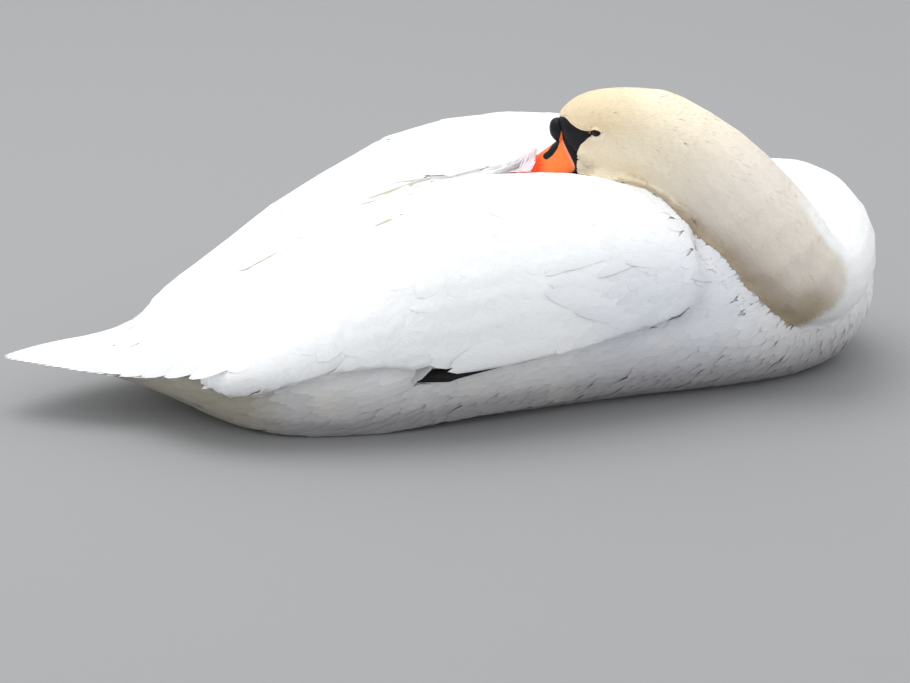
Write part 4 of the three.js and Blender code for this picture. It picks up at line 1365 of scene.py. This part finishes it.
def horn_material(name, black_only=False):
    """Satin horn: orange with the black base, nostril, edges and nail, or all black."""
    made, tree, shader = material(name, 0.42, specular=0.22)
    noise = grain(tree, 260.0, 5.0)
    colour = blend(tree, noise, (0.004, 0.004, 0.006), (0.009, 0.009, 0.013))
    if not black_only:
        share = node(tree, "ShaderNodeSeparateColor", {"Color": corner_colour(tree)}).outputs
        orange = blend(tree, noise, srgb(243, 118, 52), srgb(250, 140, 72))
        orange = blend(tree, share["Red"], orange, srgb(248, 70, 24))
        orange = blend(tree, share["Green"], orange, srgb(243, 158, 142))
        colour = blend(tree, ranged(tree, number(tree, "black"), -0.3, 0.3, 1.0, 0.0), orange, colour)
    tree.links.new(colour, shader.inputs["Base Color"])
    relief(tree, shader, noise, 0.2, 0.0003)
    return made


horn_orange = horn_material("horn_orange")
horn_black = horn_material("horn_black", True)
bill_top = upper_bill()
q = in_head(arrays(bill_top.data)[0])
tomium_at = curve(BILL, np.clip(q[:, 0], BILL[0, 0], BILL[-1, 0]))[:, 1]
# distance outside the black: beside the bare skin of the face, the nostril, the cutting edge and the nail
dots = head_dots(q)
border = outside(dots, BORDER)
black = np.minimum(border, beside(dots, NOSTRIL) - 3.3)
black = np.minimum(black, (q[:, 2] - tomium_at) - 1.2)
nail = np.hypot((q[:, 0] - 101) / 8.5, q[:, 1] / 7.0)
black = np.minimum(black, (nail - 1) * 7)
black[q[:, 0] < 27.5] = -1
# shares of the redder and the paler orange
shares = np.stack((smooth(549, 536, dots[:, 0]), 0.7 * smooth(4, 0, border), np.zeros(len(dots))), 1)
set_colour(bill_top.data, shares)
set_number(bill_top.data, "black", black)
bill_top.data.materials.append(horn_orange)
bill_low = lower_bill()
bill_low.data.materials.append(horn_black)
knob = ball(
    "bill_knob_skin", (37.9, 0, 3.2), (8.5, 9, 12.1), 48, 30,
    lambda p: 1 + 0.008 * np.sin(9 * p[:, 0] + 4 * p[:, 2]) - 0.01)
knob_dots = head_dots(in_head(arrays(knob.data)[0]))
# the orange that reaches up between the knob and the face
WEDGE = [(561.6, 129), (560.4, 135.7), (558.8, 141), (557, 147), (566, 147), (563.6, 141.5), (562.3, 135.7)]
set_number(knob.data, "black", -outside(knob_dots, WEDGE))
set_colour(knob.data, np.zeros((len(knob_dots), 3)))
knob.data.materials.append(horn_orange)
for piece, cad_node, slot in (
        (bill_top, "bill_upper", "bill_orange"), (bill_low, "bill_lower", "bill_black"),
        (knob, "bill_knob", "bill_black")):
    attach(piece, "root")
    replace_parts(piece, cad_node)

# soft barbs of the back feathers that the bill is pushed under
perch = Surface(*stack([(hull.co, hull.tris), arrays(bill_top.data)]))
coat = Coat("barbs_over_bill")
rng = np.random.default_rng(8)
PUSHED = [(492, 176), (531, 174), (536.5, 160), (537.5, 151), (539.5, 145), (531, 148), (512, 160)]
dots = np.stack((rng.uniform(488, 541, 2400), rng.uniform(140, 176, 2400)), 1)
dots = dots[outside(dots, PUSHED) < -0.3][:900]
reach = rng.uniform(8, 15, len(dots))
turn = np.radians(rng.uniform(22, 70, len(dots)))
starts = dots - np.stack((np.cos(turn), -np.sin(turn)), 1) * reach[:, None]
starts[:, 1] = np.minimum(starts[:, 1], 172)
roots, tips = seen_at(perch, starts), seen_at(perch, dots)
near = abs((roots - tips) @ BACKWARDS) < 11
dots, roots, tips = dots[near], roots[near], tips[near]
# painted shade and light: grey brown at the left, away from the bill, and pink towards the bill, painted as its orange
# showing through the barbs
shade = np.clip((dots[:, :1] - 494) / 30 + 0.15 * rng.normal(size=(len(dots), 1)), 0, 1)
tint = mix(srgb(206, 196, 186), srgb(238, 224, 229), shade) * rng.uniform(0.9, 1.06, (len(dots), 1))
tint = mix(tint, WHITE, smooth(11, 1, beside(dots, [(488, 178), (512, 158), (535, 143)]))[:, None])
facing = np.broadcast_to(unit(0.6 * BACKWARDS + 0.4 * Z), roots.shape)
lines = straight(roots, tips, facing, rng.uniform(0.8, 2.2, len(dots)))
coat.add(
    None, roots, None, np.linalg.norm(tips - roots, axis=1), 1.5, TUFT, 3, 0.6, 0.1, 0.0,
    tip=0.5, cup=0.05, lines=lines, tint=tint, lean=0.05)
coat.make(vane_fine)

# the cheek's front edge, whose tufts lie over the base of the bill
perch = Surface(*stack([(hull.co, hull.tris), arrays(bill_top.data), arrays(bill_low.data)]))
coat = Coat("tufts_cheek_edge")
EDGE = [(577.6, 152.5), (576.6, 157.4), (576.2, 163.8), (576.2, 172), (587, 172), (584, 164), (580, 156.5)]
dots = np.stack((rng.uniform(576, 588, 1200), rng.uniform(150, 172, 1200)), 1)
dots = dots[outside(dots, EDGE) < 0][:340]
ends = dots + np.stack((rng.uniform(6, 12, len(dots)), rng.uniform(-1, 3.5, len(dots))), 1)
roots, tips = seen_at(perch, dots), seen_at(hull, ends)
facing = np.broadcast_to(unit(0.8 * BACKWARDS + 0.3 * HEAD_LEFT), roots.shape)
lines = straight(roots + 0.5 * facing, tips - 0.5 * facing, facing, np.full(len(dots), 0.5))
coat.add(
    None, roots, None, np.linalg.norm(tips - roots, axis=1), 2.8, TUFT, 3, 0.5, 0.08, 1.0,
    cup=0.05, lines=lines, lean=0.03)
coat.make(vane_fine, "head_plumage")

eye_dark, tree, shader = material("eye_dark", 0.06, specular=0.3)
iris = blend(tree, grain(tree, 500.0, 2.0), (0.004, 0.002, 0.001), (0.02, 0.009, 0.005))
tree.links.new(iris, shader.inputs["Base Color"])
for side, word in ((-1, "right"), (1, "left")):
    eye = ball("eyeball_" + word, (0, side * EYE_ASIDE, 0), (EYE_RADIUS,) * 3, 40, 28)
    eye.data.materials.append(eye_dark)
    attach(eye, "root")
    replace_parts(eye, "eye_" + word)


# ---------------------------------------------------------------- legs and feet
def web_material():
    """Black skin with small scales."""
    made, tree, shader = material("web_skin", 0.6, specular=0.2)
    where = node(tree, "ShaderNodeTexCoord").outputs["Object"]
    scales = node(tree, "ShaderNodeTexVoronoi", {"Vector": where, "Scale": 420.0}).outputs["Distance"]
    tree.links.new(blend(tree, scales, (0.008, 0.007, 0.008), (0.022, 0.02, 0.021)), shader.inputs["Base Color"])
    relief(tree, shader, scales, 0.6, 0.0004)
    return made


web_skin = web_material()
for word in ("right", "left"):
    pair = ["leg_" + word, "foot_" + word]
    mesh = remeshed(*stack([welded(name, 0.3) for name in pair]), 1.7)
    relax(mesh, 4)
    mesh.name = "leg_and_foot_" + word
    mesh.shade_smooth()
    limb = add_object("leg_and_foot_" + word, mesh)
    mesh.materials.clear()
    mesh.materials.append(web_skin)
    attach(limb, "root")
    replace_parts(limb, *pair)

# ---------------------------------------------------------------- floor, light and camera
FLOOR_HALF, FLOOR_Z = 30000, -0.5
corners = [(x * FLOOR_HALF, y * FLOOR_HALF, FLOOR_Z) for x, y in ((-1, -1), (1, -1), (1, 1), (-1, 1))]
floor = new_object("floor", np.array(corners, float), [(0, 1, 2, 3)], False)
stone, _, stone_shader = material("floor_pale", 0.85)
stone_shader.inputs["Base Color"].default_value = (0.30, 0.30, 0.305, 1)
floor.data.materials.append(stone)

world = bpy.data.worlds.new("studio") if not bpy.data.worlds else bpy.data.worlds[0]
bpy.context.scene.world = world
world.use_nodes = True
background = world.node_tree.nodes["Background"]
background.inputs["Color"].default_value = (0.965, 0.985, 1.0, 1)
background.inputs["Strength"].default_value = 1.10
bpy.context.scene.view_settings.view_transform = "Standard"


def looking(way):
    """The turn of a lamp or camera that looks that way."""
    return Vector(way).to_track_quat("-Z", "Y").to_euler()


LAMP_AT, LAMP_TO = Vector((-0.4, 0.4, 2.8)), Vector((0, 0, 0.1))
lamp_data = bpy.data.lights.new("light_above", "AREA")
lamp_data.shape = "DISK"
lamp_data.size = 2.4
lamp_data.energy = 38
lamp_data.color = (1.0, 0.99, 0.97)
lamp = add_object("light_above", lamp_data)
lamp.location = LAMP_AT
lamp.rotation_euler = looking(LAMP_TO - LAMP_AT)

SENSOR = 36
camera_data = bpy.data.cameras.new("camera")
camera_data.sensor_width = SENSOR
camera_data.lens = FOCAL / VIEW_WIDTH * SENSOR
camera_data.clip_end = 50
camera = add_object("camera", camera_data)
camera.location = CAMERA_AT * MM
camera.rotation_euler = looking((-BACKWARDS).tolist())
bpy.context.scene.camera = camera
